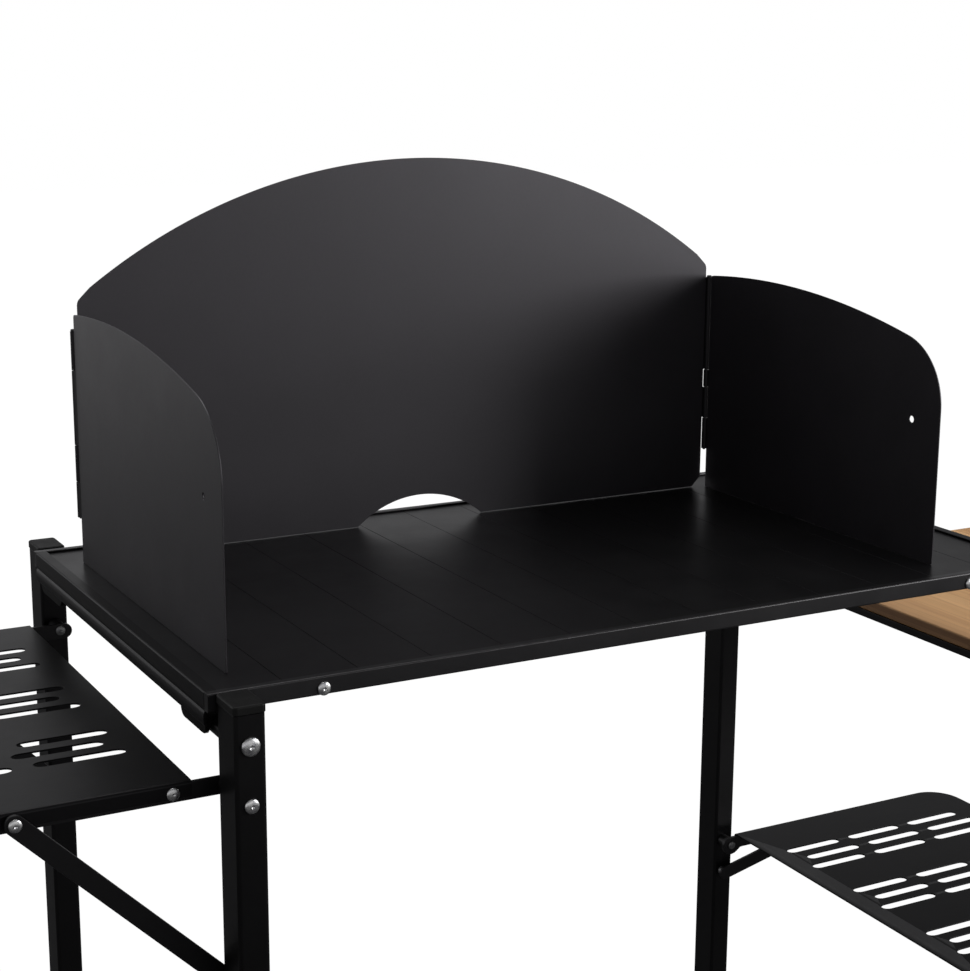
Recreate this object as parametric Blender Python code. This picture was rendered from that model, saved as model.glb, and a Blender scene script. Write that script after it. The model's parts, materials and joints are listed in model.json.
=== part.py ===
"""Folding camp kitchen stand: a slatted black top with a three-panel windscreen,
a slotted steel wing on the left, a bamboo wing and a lower slotted shelf on the
right, on two leg frames joined by a double scissor brace at the back.

Lengths below are millimetres in the top's own frame: x from the left end of the
top, y from its front rail backwards, z up from its upper face. The stand is
placed in the world with its feet on z = 0 and its plan centred on x = y = 0.
"""

import math

import bmesh
import bpy
from mathutils import Matrix, Vector

MM = 0.001
GAP = 0.3  # between pieces that touch

# ---- driving dimensions -------------------------------------------------
TOP_HEIGHT = 800.0  # floor to the upper face of the rails
TOP_W, TOP_D = 640.0, 360.0
RAIL_H = 11.5
RAIL_LIP = 6.0  # width of the rails' upper and lower lips
RAIL_T = 1.2
SIDE_RAIL_H, SIDE_RAIL_LIP, SIDE_RAIL_T = 21.5, 8.0, 1.8
SLAT_PITCH = TOP_W / 13
SLAT_TOP = -1.5  # upper face of the slats, under the rails' upper lip
SLAT_T = 1.2
SLAT_DEEP = 7.5
SLAT_SET = 0.3  # the slats' margin is pressed down by this under the rails' lips

LEG_W, LEG_D = 19.0, 28.0  # rectangular tube, its wider side along the depth
LEG_WALL = 1.5
LEG_INSET = 4.5  # from the end of the top
LEG_GAP = 2.0  # from the rail
LEG_TOP = -4.8
CAP_TOP = 0.7
CAP_OUT = 0.5  # a cap stands this far over its tube all round
FOOT_H = 12.0
POST_X = LEG_INSET + LEG_W / 2 - 0.25  # line of the bolts in the left legs
POST_XR = TOP_W - POST_X
FRONT_LEG = (-LEG_GAP - LEG_D, -LEG_GAP)
REAR_LEG = (TOP_D + LEG_GAP, TOP_D + LEG_GAP + LEG_D)

TUBE_R = 8.0
TOP_TUBE_Z = -23.5
BOTTOM_TUBE_Z = -700.0
BOLT_R, BOLT_HEAD_R, BOLT_HEAD_H = 3.4, 5.7, 2.6

PIVOT_X = 15.5  # right wings' pivots, from the end of the top
ARM_T = 3.0
ARM_TAIL = 8.7  # how far the left arms run past their pivot
ARM_H = 11.0
ARM_FRONT_Y, ARM_REAR_Y = 9.5, TOP_D - 9.5 - ARM_T
PIN_R = 3.0
PIN_HEAD_R, PIN_HEAD_H = 4.5, 2.0
STAY_REACH, STAY_DROP = 125.0, 30.0  # stay's two ends, measured from the wing pivot
LEFT_REACH, LEFT_DROP = 126.0, 126.0  # the same of the left wing's steeper stays
STAY_W, STAY_T = 12.0, 2.5
STAY_FRONT_Y, STAY_REAR_Y = 3.0, TOP_D - 3.0 - STAY_T
STUD_R = 4.0
STUD_SHORT = 1.8  # a stud ends this far before the stay, clear of its rivet head

SHELF_Y = (8.0, TOP_D - 8.0)
SHELF_T = 1.2
SHELF_FLANGE = 10.0
SHELF_CORNER = 29.0
SHELF_EDGE = 8.0  # from the end of the top to the wing's inner edge
LEFT_SHELF_Z = -53.0
LEFT_SHELF_L = 313.5
LOWER_SHELF_Z = -341.0
LOWER_SHELF_L = 242.0
LOWER_SHELF_EDGE = -9.5
BAMBOO_Z = -82.4
BAMBOO_T = 10.0
BAMBOO_L = 313.5

LEFT_PIVOT = (POST_X, LEFT_SHELF_Z - 6.2)
RIGHT_PIVOT = (TOP_W - PIVOT_X, BAMBOO_Z - BAMBOO_T - 10.3)
LOWER_PIVOT = (TOP_W - PIVOT_X, LOWER_SHELF_Z - 9.0)

SLOT_L, SLOT_W = 56.4, 8.8
SLOT_ROW, SLOT_GROUP = 18.5, 93.0
SLOT_SHIFT = 4.3  # the slots lie this far behind the shelf's middle
SLOT_PITCH_X = 69.0
SLOT_MARGIN = 18.0
SLOT_STAGGER = 8.2

SCREEN_PIN_Y = 321.0
SCREEN_PIN_X = (25.0, 561.5)
SCREEN_T = 1.0
SCREEN_SIDE_H = 187.0
SCREEN_TOP_H = 278.0
SCREEN_FRONT_Y = 33.5
KNUCKLE_R, KNUCKLE_HOLE, HINGE_PIN_R = 2.5, 1.4, 1.15
HINGE_Z = (31.0, 57.2, 83.4)  # lower ends of the first three knuckles
HINGE_LAST = ((137.0, 164.6), (98.0, 175.0))  # the fourth at the left and right hinge
EDGE_BACK = (3.5, 2.9)  # from each pin to the back panel's upright edge
EDGE_SIDE = (4.0, 2.9)  # from each pin to the side panel's rear edge

BRACE_L = 378.0  # between a bar's two end pivots
BRACE_LOW_Z = -775.0
BRACE_W, BRACE_T = 16.0, 2.5
BRACE_Y = (394.0, 396.8)  # the two layers of bars, behind the rear legs
SLEEVE_WALL, SLEEVE_H = 2.6, 26.0

FRONT_EXTREME = FRONT_LEG[0] - GAP - BOLT_HEAD_H
REAR_EXTREME = BRACE_Y[1] + BRACE_T + 1.5

# ---- scene --------------------------------------------------------------
for old in list(bpy.data.objects):
    bpy.data.objects.remove(old, do_unlink=True)

SCENE = bpy.context.scene.collection


def empty(name, at, parent=None, parent_at=(0, 0, 0)):
    """An empty at a point of the top's frame, on a joint's axis."""
    made = bpy.data.objects.new(name, None)
    SCENE.objects.link(made)
    made.empty_display_size = 0.02
    made.parent = parent
    made.location = (Vector(at) - Vector(parent_at)) * MM
    return made


STAND = empty("stand", (0, 0, 0))
STAND.location = Vector((-TOP_W / 2, -(FRONT_EXTREME + REAR_EXTREME) / 2, TOP_HEIGHT)) * MM


def material(name, colour, rough, metal):
    made = bpy.data.materials.new(name)
    made.use_nodes = True
    shader = made.node_tree.nodes["Principled BSDF"]
    shader.inputs["Base Color"].default_value = (*colour, 1.0)
    shader.inputs["Roughness"].default_value = rough
    shader.inputs["Metallic"].default_value = metal
    made.diffuse_color = (*colour, 1.0)
    return made


BLACK = (0.012, 0.012, 0.014)
ZINC = (0.55, 0.55, 0.56)


# ---- mesh helpers -------------------------------------------------------
AXES = {"x": (1, 2, 0), "y": (0, 2, 1), "z": (0, 1, 2)}


def to3(axis, u, v, w):
    """(u, v) in the plane across the axis, w along it."""
    if axis == "x":
        return (w, u, v)
    if axis == "y":
        return (u, w, v)
    return (u, v, w)


def finish(bm, name, angle=35.0):
    bmesh.ops.recalc_face_normals(bm, faces=bm.faces)
    mesh = bpy.data.meshes.new(name)
    bm.to_mesh(mesh)
    bm.free()
    if sum(p.area * p.normal.dot(p.center) for p in mesh.polygons) < 0:
        mesh.flip_normals()
    mesh.shade_smooth()
    mesh.set_sharp_from_angle(angle=math.radians(angle))
    return mesh


def prism(bm, axis, outline, low, high, holes=()):
    """Extrudes an outline along an axis. A hole with as many points as the
    outline makes a tube."""
    if holes:
        inner = holes[0]
        rings = [
            [bm.verts.new(to3(axis, u, v, w)) for u, v in loop]
            for w in (low, high)
            for loop in (outline, inner)
        ]
        lo_out, lo_in, hi_out, hi_in = rings
        n = len(outline)
        for i in range(n):
            j = (i + 1) % n
            bm.faces.new((lo_out[i], lo_out[j], hi_out[j], hi_out[i]))
            bm.faces.new((lo_in[j], lo_in[i], hi_in[i], hi_in[j]))
            bm.faces.new((lo_out[j], lo_out[i], lo_in[i], lo_in[j]))
            bm.faces.new((hi_out[i], hi_out[j], hi_in[j], hi_in[i]))
        return
    base = [bm.verts.new(to3(axis, u, v, low)) for u, v in outline]
    face = bm.faces.new(base)
    moved = bmesh.ops.extrude_face_region(bm, geom=[face])
    verts = [v for v in moved["geom"] if isinstance(v, bmesh.types.BMVert)]
    step = Vector(to3(axis, 0, 0, high - low))
    bmesh.ops.translate(bm, verts=verts, vec=step)


def circle(cu, cv, r, n=16, turn=0.5):
    return [
        (cu + r * math.cos(2 * math.pi * (i + turn) / n), cv + r * math.sin(2 * math.pi * (i + turn) / n))
        for i in range(n)
    ]


def rounded(u0, v0, u1, v1, r, n=3):
    """Rectangle with rounded corners; r is one radius or four, from the low-low
    corner anticlockwise."""
    radii = [r] * 4 if not isinstance(r, (list, tuple)) else list(r)
    centres = [
        (u0 + radii[0], v0 + radii[0], 180, radii[0]),
        (u1 - radii[1], v0 + radii[1], 270, radii[1]),
        (u1 - radii[2], v1 - radii[2], 0, radii[2]),
        (u0 + radii[3], v1 - radii[3], 90, radii[3]),
    ]
    points = []
    for cu, cv, start, rad in centres:
        steps = n if rad > 0 else 0
        for i in range(steps + 1):
            a = math.radians(start + (90.0 * i / steps if steps else 0))
            points.append((cu + rad * math.cos(a), cv + rad * math.sin(a)))
    return points


def box(bm, x0, y0, z0, x1, y1, z1):
    prism(bm, "z", [(x0, y0), (x1, y0), (x1, y1), (x0, y1)], z0, z1)


def dome(bm, axis, cu, cv, base, height, r, n=10):
    """A low rivet or bolt head: its flat face at base, bulging by height."""
    loops = []
    for rad, up in ((r * 0.98, 0.0), (r, height * 0.35), (r * 0.6, height)):
        loops.append([bm.verts.new(to3(axis, u, v, base + up)) for u, v in circle(cu, cv, rad, n)])
    for a, b in zip(loops, loops[1:]):
        for i in range(n):
            j = (i + 1) % n
            bm.faces.new((a[i], a[j], b[j], b[i]))
    bm.faces.new(loops[0])
    bm.faces.new(loops[-1])


class Piece:
    """A named sub-part: meshes are written in the top's frame, then hung on the
    empty of the body it belongs to."""

    def __init__(self, name, body, mat):
        self.name, self.body, self.mat = name, body, mat
        self.bm = bmesh.new()
        self.added, self.cut = [], []

    def union(self):
        bm = bmesh.new()
        self.added.append(bm)
        return bm

    def cutter(self):
        bm = bmesh.new()
        self.cut.append(bm)
        return bm

    def hang(self, mesh, name):
        made = bpy.data.objects.new(name, mesh)
        SCENE.objects.link(made)
        holder, at = BODIES[self.body]
        mesh.transform(Matrix.Diagonal((MM, MM, MM, 1.0)) @ Matrix.Translation(-Vector(at)))
        made.parent = holder
        return made

    def build(self, angle=35.0):
        made = self.hang(finish(self.bm, self.name, angle), self.name)
        made.data.materials.append(self.mat)
        for kind, list_ in (("UNION", self.added), ("DIFFERENCE", self.cut)):
            for i, bm in enumerate(list_):
                tool = self.hang(finish(bm, f"{self.name}_{kind.lower()}_{i}"), f"{self.name}_{kind.lower()}_{i}")
                tool.hide_render = True
                tool.display_type = "WIRE"
                mod = made.modifiers.new(f"{kind.title()} {i}", "BOOLEAN")
                mod.operation = kind
                mod.solver = "EXACT"
                mod.object = tool
        return made


BODIES = {}


def body(name, at, parent=None):
    if parent is None:
        BODIES[name] = (STAND, (0, 0, 0))
    else:
        holder, parent_at = BODIES[parent]
        BODIES[name] = (empty(name + "_axis", at, holder, parent_at), at)


def mirror_x(x, right):
    return TOP_W - x if right else x


# ---- bodies and their axes ----------------------------------------------
BRACE_HALF = (POST_XR - POST_X) / 2
BRACE_ANGLE = math.acos(BRACE_HALF / BRACE_L)
BRACE_RISE = BRACE_L * math.sin(BRACE_ANGLE)
MID_X = TOP_W / 2
LOW_L = (POST_X, BRACE_LOW_Z)
LOW_R = (POST_XR, BRACE_LOW_Z)
UP_L = (POST_X, BRACE_LOW_Z + BRACE_RISE)
UP_R = (POST_XR, BRACE_LOW_Z + BRACE_RISE)
MID_T = (MID_X, BRACE_LOW_Z + BRACE_RISE)
MID_B = (MID_X, BRACE_LOW_Z)
CROSS_L = ((POST_X + MID_X) / 2, BRACE_LOW_Z + BRACE_RISE / 2)
CROSS_R = ((POST_XR + MID_X) / 2, BRACE_LOW_Z + BRACE_RISE / 2)
REAR_Y = BRACE_Y[0]

body("left_frame", (0, 0, 0))
body("table_top", (MID_X, TOP_D / 2, 0), "left_frame")
body("windscreen", (SCREEN_PIN_X[0], SCREEN_PIN_Y, SLAT_TOP), "table_top")
body("screen_left_panel", (SCREEN_PIN_X[0], SCREEN_PIN_Y, 0), "windscreen")
body("screen_right_panel", (SCREEN_PIN_X[1], SCREEN_PIN_Y, 0), "windscreen")
body("left_wing", (LEFT_PIVOT[0], TOP_D / 2, LEFT_PIVOT[1]), "left_frame")
body("left_stays", (LEFT_PIVOT[0] - LEFT_REACH, TOP_D / 2, LEFT_PIVOT[1]), "left_wing")
body("brace_a", (LOW_L[0], REAR_Y, LOW_L[1]), "left_frame")
body("brace_b", (CROSS_L[0], REAR_Y, CROSS_L[1]), "brace_a")
body("slide_left", (UP_L[0], REAR_Y, UP_L[1]), "brace_b")
body("brace_c", (MID_T[0], REAR_Y, MID_T[1]), "brace_a")
body("brace_d", (CROSS_R[0], REAR_Y, CROSS_R[1]), "brace_c")
body("slide_right", (UP_R[0], REAR_Y, UP_R[1]), "brace_d")
body("right_frame", (LOW_R[0], REAR_Y, LOW_R[1]), "brace_c")
body("bamboo_wing", (RIGHT_PIVOT[0], TOP_D / 2, RIGHT_PIVOT[1]), "right_frame")
body("bamboo_stays", (RIGHT_PIVOT[0] + STAY_REACH, TOP_D / 2, RIGHT_PIVOT[1]), "bamboo_wing")
body("lower_wing", (LOWER_PIVOT[0], TOP_D / 2, LOWER_PIVOT[1]), "right_frame")
body("lower_stays", (LOWER_PIVOT[0] + STAY_REACH, TOP_D / 2, LOWER_PIVOT[1]), "lower_wing")


# ---- leg frames ---------------------------------------------------------
def leg(name, right, rear):
    piece = Piece(name, "right_frame" if right else "left_frame", material(name, BLACK, 0.42, 0.0))
    x0 = TOP_W - LEG_INSET - LEG_W if right else LEG_INSET
    y0, y1 = REAR_LEG if rear else FRONT_LEG
    bottom = -TOP_HEIGHT + FOOT_H + GAP
    top = LEG_TOP
    outer = rounded(x0, y0, x0 + LEG_W, y1, 2.5, 2)
    w = LEG_WALL
    inner = rounded(x0 + w, y0 + w, x0 + LEG_W - w, y1 - w, 1.0, 2)
    prism(piece.bm, "z", outer, bottom, top, holes=[inner])
    cut = piece.cutter()
    post = mirror_x(POST_X, right)
    for z in (TOP_TUBE_Z, BOTTOM_TUBE_Z):
        prism(cut, "y", circle(post, z, BOLT_R + GAP, 10), y0 - 1, y1 + 1)
    pivots = (RIGHT_PIVOT, LOWER_PIVOT) if right else (LEFT_PIVOT,)
    for px, pz in pivots:
        prism(cut, "y", circle(px, pz, PIN_R + 0.25, 10), y0 - 1, y1 + 1)
    if rear:
        prism(cut, "y", circle(post, BRACE_LOW_Z, PIN_R + 0.25, 10), y0 + LEG_D / 2, y1 + 1)
    # shoulder studs that the wing stays hook on to
    drop = STAY_DROP if right else LEFT_DROP
    for px, pz in pivots:
        add = piece.union()
        if rear:
            prism(add, "y", circle(px, pz - drop, STUD_R, 10), STAY_REAR_Y + STAY_T + STUD_SHORT, y0 + w / 2)
        else:
            prism(add, "y", circle(px, pz - drop, STUD_R, 10), y1 - w / 2, STAY_FRONT_Y - STUD_SHORT)
    piece.build()

    cap = Piece(name.replace("leg", "cap"), piece.body, material(name.replace("leg", "cap"), (0.02, 0.02, 0.02), 0.5, 0.0))
    c = CAP_OUT
    prism(cap.bm, "z", rounded(x0 - c, y0 - c, x0 + LEG_W + c, y1 + c, 2.5, 2), top + GAP, CAP_TOP - 0.6)
    rim = cap.union()
    prism(rim, "z", rounded(x0 + 0.6, y0 + 0.6, x0 + LEG_W - 0.6, y1 - 0.6, 2.2, 2), CAP_TOP - 1.0, CAP_TOP)
    stem = cap.union()
    prism(stem, "z", rounded(x0 + w + GAP, y0 + w + GAP, x0 + LEG_W - w - GAP, y1 - w - GAP, 0.8, 1), top - 11.0, top + 1.0)
    cap.build()

    foot = Piece(name.replace("leg", "foot"), piece.body, material(name.replace("leg", "foot"), (0.018, 0.018, 0.018), 0.7, 0.0))
    floor = -TOP_HEIGHT
    prism(foot.bm, "z", rounded(x0 - 1.5, y0 - 1.5, x0 + LEG_W + 1.5, y1 + 1.5, 3.5, 2), floor + 1.2, floor + FOOT_H)
    sole = foot.union()
    prism(sole, "z", rounded(x0, y0, x0 + LEG_W, y1, 3.0, 1), floor, floor + 2.0)
    stem = foot.union()
    prism(stem, "z", rounded(x0 + w + GAP, y0 + w + GAP, x0 + LEG_W - w - GAP, y1 - w - GAP, 0.8, 1), floor + FOOT_H - 1.0, floor + FOOT_H + 8.0)
    foot.build()


leg("leg_front_left", False, False)
leg("leg_rear_left", False, True)
leg("leg_front_right", True, False)
leg("leg_rear_right", True, True)


def cross_tube(name, right, z, with_bolts):
    """A round tube between the front and rear legs. The lower one keeps its
    bolts as one solid with it; the upper one's are pieces of their own."""
    piece = Piece(name, "right_frame" if right else "left_frame", material(name, BLACK, 0.42, 0.0))
    cx = mirror_x(POST_X, right)
    y0, y1 = FRONT_LEG[1] + GAP, REAR_LEG[0] - GAP
    if with_bolts:
        prism(piece.bm, "y", circle(cx, z, TUBE_R, 16), y0, y1)
        for low, high in ((FRONT_LEG[0] - 0.6, y0 + 1.0), (y1 - 1.0, REAR_LEG[1] + 0.6)):
            prism(piece.union(), "y", circle(cx, z, BOLT_R, 10), low, high)
        dome(piece.union(), "y", cx, z, FRONT_LEG[0] - GAP, -BOLT_HEAD_H, BOLT_HEAD_R)
        dome(piece.union(), "y", cx, z, REAR_LEG[1] + GAP, BOLT_HEAD_H, BOLT_HEAD_R)
    else:
        prism(piece.bm, "y", circle(cx, z, TUBE_R, 16), y0, y1, holes=[circle(cx, z, BOLT_R + GAP, 16)])
    piece.build()


def tube_bolt(name, right, rear):
    piece = Piece(name, "right_frame" if right else "left_frame", material(name, ZINC, 0.3, 1.0))
    cx = mirror_x(POST_X, right)
    if rear:
        base, way = REAR_LEG[1] + GAP, 1.0
    else:
        base, way = FRONT_LEG[0] - GAP, -1.0
    dome(piece.bm, "y", cx, TOP_TUBE_Z, base, way * BOLT_HEAD_H, BOLT_HEAD_R)
    shank = piece.union()
    low, high = sorted((base + way * 0.5, base - way * 44.0))
    prism(shank, "y", circle(cx, TOP_TUBE_Z, BOLT_R, 10), low, high)
    recess = piece.cutter()
    low, high = sorted((base + way * (BOLT_HEAD_H - 1.1), base + way * (BOLT_HEAD_H + 1.0)))
    prism(recess, "y", circle(cx, TOP_TUBE_Z, 1.7, 6), low, high)
    piece.build()


for side, right in (("left", False), ("right", True)):
    cross_tube(f"top_tube_{side}", right, TOP_TUBE_Z, False)
    cross_tube(f"bottom_tube_{side}", right, BOTTOM_TUBE_Z, True)
    tube_bolt(f"tube_bolt_front_{side}", right, False)
    tube_bolt(f"tube_bolt_rear_{side}", right, True)


# ---- table top ----------------------------------------------------------
def channel(face, way):
    """C section: the web's outer face at face, lips going way (+1 or -1)."""
    t, lip = RAIL_T, RAIL_LIP
    inner = face + way * 1.6
    end = face + way * lip
    soft = 0.8
    return [
        (face, -soft),
        (face + way * 0.25, -0.25),
        (face + way * soft, 0.0),
        (end, 0.0),
        (end, -t),
        (inner, -t),
        (inner, -RAIL_H + t),
        (end, -RAIL_H + t),
        (end, -RAIL_H),
        (face + way * soft, -RAIL_H),
        (face + way * 0.25, -RAIL_H + 0.25),
        (face, -RAIL_H + soft),
    ]


def side_section(face, way):
    """Deeper L section of the end rails, creased half way down, its lower
    half a shallow roll."""
    t, deep = SIDE_RAIL_T, SIDE_RAIL_H
    crease = deep * 0.54
    path = [
        (SIDE_RAIL_LIP, 0.0), (0.8, 0.0), (0.25, -0.25), (0.0, -0.8), (0.0, -crease + 1.1), (0.45, -crease + 0.3),
        (0.45, -crease - 0.3), (-0.3, -crease - 1.6), (-0.6, -16.5), (-0.3, -deep + 1.9), (0.3, -deep + 0.3),
        (1.0, -deep), (1.7, -deep + 0.3), (1.3, -deep + 1.9), (1.0, -16.5), (1.3, -crease - 1.6),
        (t, -crease - 0.3), (t, -RAIL_T), (SIDE_RAIL_LIP, -RAIL_T),
    ]
    return [(face + way * u, v) for u, v in path]


def rail(name, axis, face, way, low, high, rivet_at=None):
    piece = Piece(name, "table_top", material(name, BLACK, 0.36, 0.0))
    prism(piece.bm, axis, channel(face, way) if rivet_at else side_section(face, way), low, high)
    if rivet_at:
        cut = piece.cutter()
        for x in rivet_at:
            lo, hi = sorted((face - way * 1.0, face + way * 2.6))
            prism(cut, "y", circle(x, -RAIL_H / 2 - 1.7, 2.0 + 0.25, 12), lo, hi)
    piece.build()


RIVET_X = (72.0, TOP_W - 72.0)
rail("front_rail", "x", 0.0, 1.0, 0.0, TOP_W, RIVET_X)
rail("rear_rail", "x", TOP_D, -1.0, 0.0, TOP_W, RIVET_X)
rail("left_rail", "y", 0.0, 1.0, RAIL_LIP + GAP, TOP_D - RAIL_LIP - GAP)
rail("right_rail", "y", TOP_W, -1.0, RAIL_LIP + GAP, TOP_D - RAIL_LIP - GAP)

for name, x, face, way in (
    ("rail_rivet_front_left", RIVET_X[0], 0.0, -1.0),
    ("rail_rivet_front_right", RIVET_X[1], 0.0, -1.0),
    ("rail_rivet_rear_left", RIVET_X[0], TOP_D, 1.0),
    ("rail_rivet_rear_right", RIVET_X[1], TOP_D, 1.0),
):
    piece = Piece(name, "table_top", material(name, ZINC, 0.3, 1.0))
    z = -RAIL_H / 2 - 1.7
    dome(piece.bm, "y", x, z, face + way * GAP, way * 1.7, 4.2)
    low, high = sorted((face + way * 0.6, face - way * 1.8))
    prism(piece.union(), "y", circle(x, z, 2.0, 12), low, high)
    piece.build()


def deck_profile():
    """The thirteen slats seen from the front, joined under their seams, each
    with two stiffening ribs and a fold at either edge."""
    first, last = SIDE_RAIL_T + GAP, TOP_W - SIDE_RAIL_T - GAP
    top, under = SLAT_TOP, SLAT_TOP - SLAT_T
    points = [(first, top)]
    for k in range(1, 13):
        seam = SLAT_PITCH * k
        points += [(seam - 0.9, top), (seam - 0.35, top - 0.8), (seam + 0.35, top - 0.8), (seam + 0.9, top)]
    points.append((last, top))
    points.append((last, under))
    for k in range(12, -1, -1):
        seam = SLAT_PITCH * (k + 1)
        ribs = [seam - 1.0] if k == 12 else [seam]
        mids = [SLAT_PITCH * (k + 0.66), SLAT_PITCH * (k + 0.33)]
        for at in (ribs if k != 12 else []) + mids:
            half, deep = (1.6, SLAT_DEEP) if at == seam else (0.7, 4.0)
            points += [(at + half, under), (at + half, top - deep), (at - half, top - deep), (at - half, under)]
    points.append((first, under))
    return points


deck = Piece("slat_deck", "table_top", material("slat_deck", BLACK, 0.3, 0.0))
prism(deck.bm, "y", deck_profile(), 1.6 + GAP, TOP_D - 1.6 - GAP)
for x0, y0, x1, y1 in (
    (-1.0, 0.0, TOP_W + 1.0, RAIL_LIP + GAP),
    (-1.0, TOP_D - RAIL_LIP - GAP, TOP_W + 1.0, TOP_D),
    (-1.0, RAIL_LIP, SIDE_RAIL_LIP + GAP, TOP_D - RAIL_LIP),
    (TOP_W - SIDE_RAIL_LIP - GAP, RAIL_LIP, TOP_W + 1.0, TOP_D - RAIL_LIP),
):
    box(deck.cutter(), x0, y0, SLAT_TOP - SLAT_SET, x1, y1, 1.0)
deck.build()


HOOK_LOW = -29.0
HOOK_FRONT = (11.0, 53.0)
HOOK_REAR = (300.0, 352.0)


def corner_hook(name, right, rear):
    """Plastic clip under each corner, over the outside of the top tube: a pad
    above the tube and a wall outside it, open towards the other leg frame."""
    piece = Piece(name, "table_top", material(name, (0.02, 0.02, 0.02), 0.5, 0.0))
    cx = mirror_x(POST_X, right)
    way = -1.0 if right else 1.0
    top = -RAIL_H - GAP
    r_in = TUBE_R + 0.35
    outer = SIDE_RAIL_T + 0.5 - POST_X
    points = [(outer, top), (10.0, top), (10.0, TOP_TUBE_Z + r_in)]
    points += [(r_in * math.cos(math.radians(90 + 18 * i)), TOP_TUBE_Z + r_in * math.sin(math.radians(90 + 18 * i))) for i in range(6)]
    points += [(-r_in, HOOK_LOW), (outer, HOOK_LOW)]
    y0, y1 = HOOK_REAR if rear else HOOK_FRONT
    prism(piece.bm, "y", [(cx + way * u, v) for u, v in points], y0, y1)
    r = 8.0 if rear else 6.0
    for end, s in ((y0, 1.0), (y1, -1.0)):
        corner = [(end + s * r * (1 - math.sin(math.radians(a))), HOOK_LOW + r * (1 - math.cos(math.radians(a)))) for a in (0, 22, 45, 68, 90)]
        prism(piece.cutter(), "x", corner + [(end - s, HOOK_LOW + r), (end - s, HOOK_LOW - 1.0), (end + s * r, HOOK_LOW - 1.0)], min(cx - way * 14.0, cx + way * 1.0), max(cx - way * 14.0, cx + way * 1.0))
    piece.build()


for side, right in (("left", False), ("right", True)):
    corner_hook(f"corner_hook_front_{side}", right, False)
    corner_hook(f"corner_hook_rear_{side}", right, True)


# ---- windscreen ---------------------------------------------------------
SCREEN_FOOT = SLAT_TOP + GAP


def arc(cx, cz, r, start, end, n):
    return [
        (cx + r * math.cos(math.radians(start + (end - start) * i / n)), cz + r * math.sin(math.radians(start + (end - start) * i / n)))
        for i in range(n + 1)
    ]


def back_outline():
    x0, x1 = SCREEN_PIN_X[0] + EDGE_BACK[0], SCREEN_PIN_X[1] - EDGE_BACK[1]
    mid, half = (x0 + x1) / 2, (x1 - x0) / 2
    rise = SCREEN_TOP_H - SCREEN_SIDE_H
    r = (half * half + rise * rise) / (2 * rise)
    lean = math.degrees(math.asin(half / r))
    chamfer = 8.0
    points = [(x0, SCREEN_FOOT + chamfer), (x0 + chamfer, SCREEN_FOOT)]
    notch_half, notch_rise = 53.5, 20.0
    nr = (notch_half**2 + notch_rise**2) / (2 * notch_rise)
    spread = math.degrees(math.asin(notch_half / nr))
    points += arc(mid + 2.0, SCREEN_FOOT + notch_rise - nr, nr, 90 + spread, 90 - spread, 12)
    points += [(x1 - chamfer, SCREEN_FOOT), (x1, SCREEN_FOOT + chamfer)]
    top = arc(mid, SCREEN_TOP_H - r, r, 90 - lean, 90 + lean, 28)
    soft = 5.0
    points.append((x1, top[0][1] - soft))
    points.append((x1 - 1.0, top[0][1] - 1.2))
    points += [p for p in top if x0 + soft < p[0] < x1 - soft]
    points.append((x0 + 1.0, top[-1][1] - 1.2))
    points.append((x0, top[-1][1] - soft))
    return points


def side_outline(right):
    """y, z outline of a side panel: upright front edge, a round shoulder and a
    long shallow curve over the top."""
    crest_y, crest_z, big = 245.0, 180.0, 753.0
    rear = SCREEN_PIN_Y - EDGE_SIDE[1 if right else 0]
    r = 50.0
    cy = SCREEN_FRONT_Y + r
    cz = crest_z - big + math.sqrt((big - r) ** 2 - (crest_y - cy) ** 2)
    meet = math.degrees(math.atan2(cz - (crest_z - big), cy - crest_y))
    points = [(rear, SCREEN_FOOT), (SCREEN_FRONT_Y + 1.5, SCREEN_FOOT), (SCREEN_FRONT_Y, SCREEN_FOOT + 1.5)]
    points += arc(cy, cz, r, 180, meet, 9)
    end = math.degrees(math.acos((rear - 3.0 - crest_y) / big))
    points += arc(crest_y, crest_z - big, big, meet, end, 10)[1:]
    points.append((rear, points[-1][1] - 3.0))
    return points


def knuckles(piece, px, spans):
    """Rolled loops round a hinge pin."""
    for low, high in spans:
        prism(piece.union(), "z", circle(px, SCREEN_PIN_Y, KNUCKLE_R, 12), low, high)




def span_side(right):
    return ((HINGE_Z[0], HINGE_Z[1] - GAP), (HINGE_Z[2] + GAP, HINGE_LAST[1 if right else 0][0] - GAP))


def span_back(right):
    low, high = HINGE_LAST[1 if right else 0]
    return ((HINGE_Z[1] + GAP, HINGE_Z[2] - GAP), (low + GAP, high))


back = Piece("screen_back", "windscreen", material("screen_back", BLACK, 0.4, 0.0))
back_y = SCREEN_PIN_Y + 0.4
prism(back.bm, "y", back_outline(), back_y, back_y + SCREEN_T)
for px, way in ((SCREEN_PIN_X[0], 1.0), (SCREEN_PIN_X[1], -1.0)):
    for low, high in span_back(way < 0):
        tab = back.union()
        lo, hi = sorted((px + way * 1.8, px + way * 5.0))
        box(tab, lo, back_y, low, hi, back_y + SCREEN_T, high)
    knuckles(back, px, span_back(way < 0))
for px in SCREEN_PIN_X:
    prism(back.cutter(), "z", circle(px, SCREEN_PIN_Y, KNUCKLE_HOLE, 8), 20.0, 180.0)
back.build()

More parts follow.
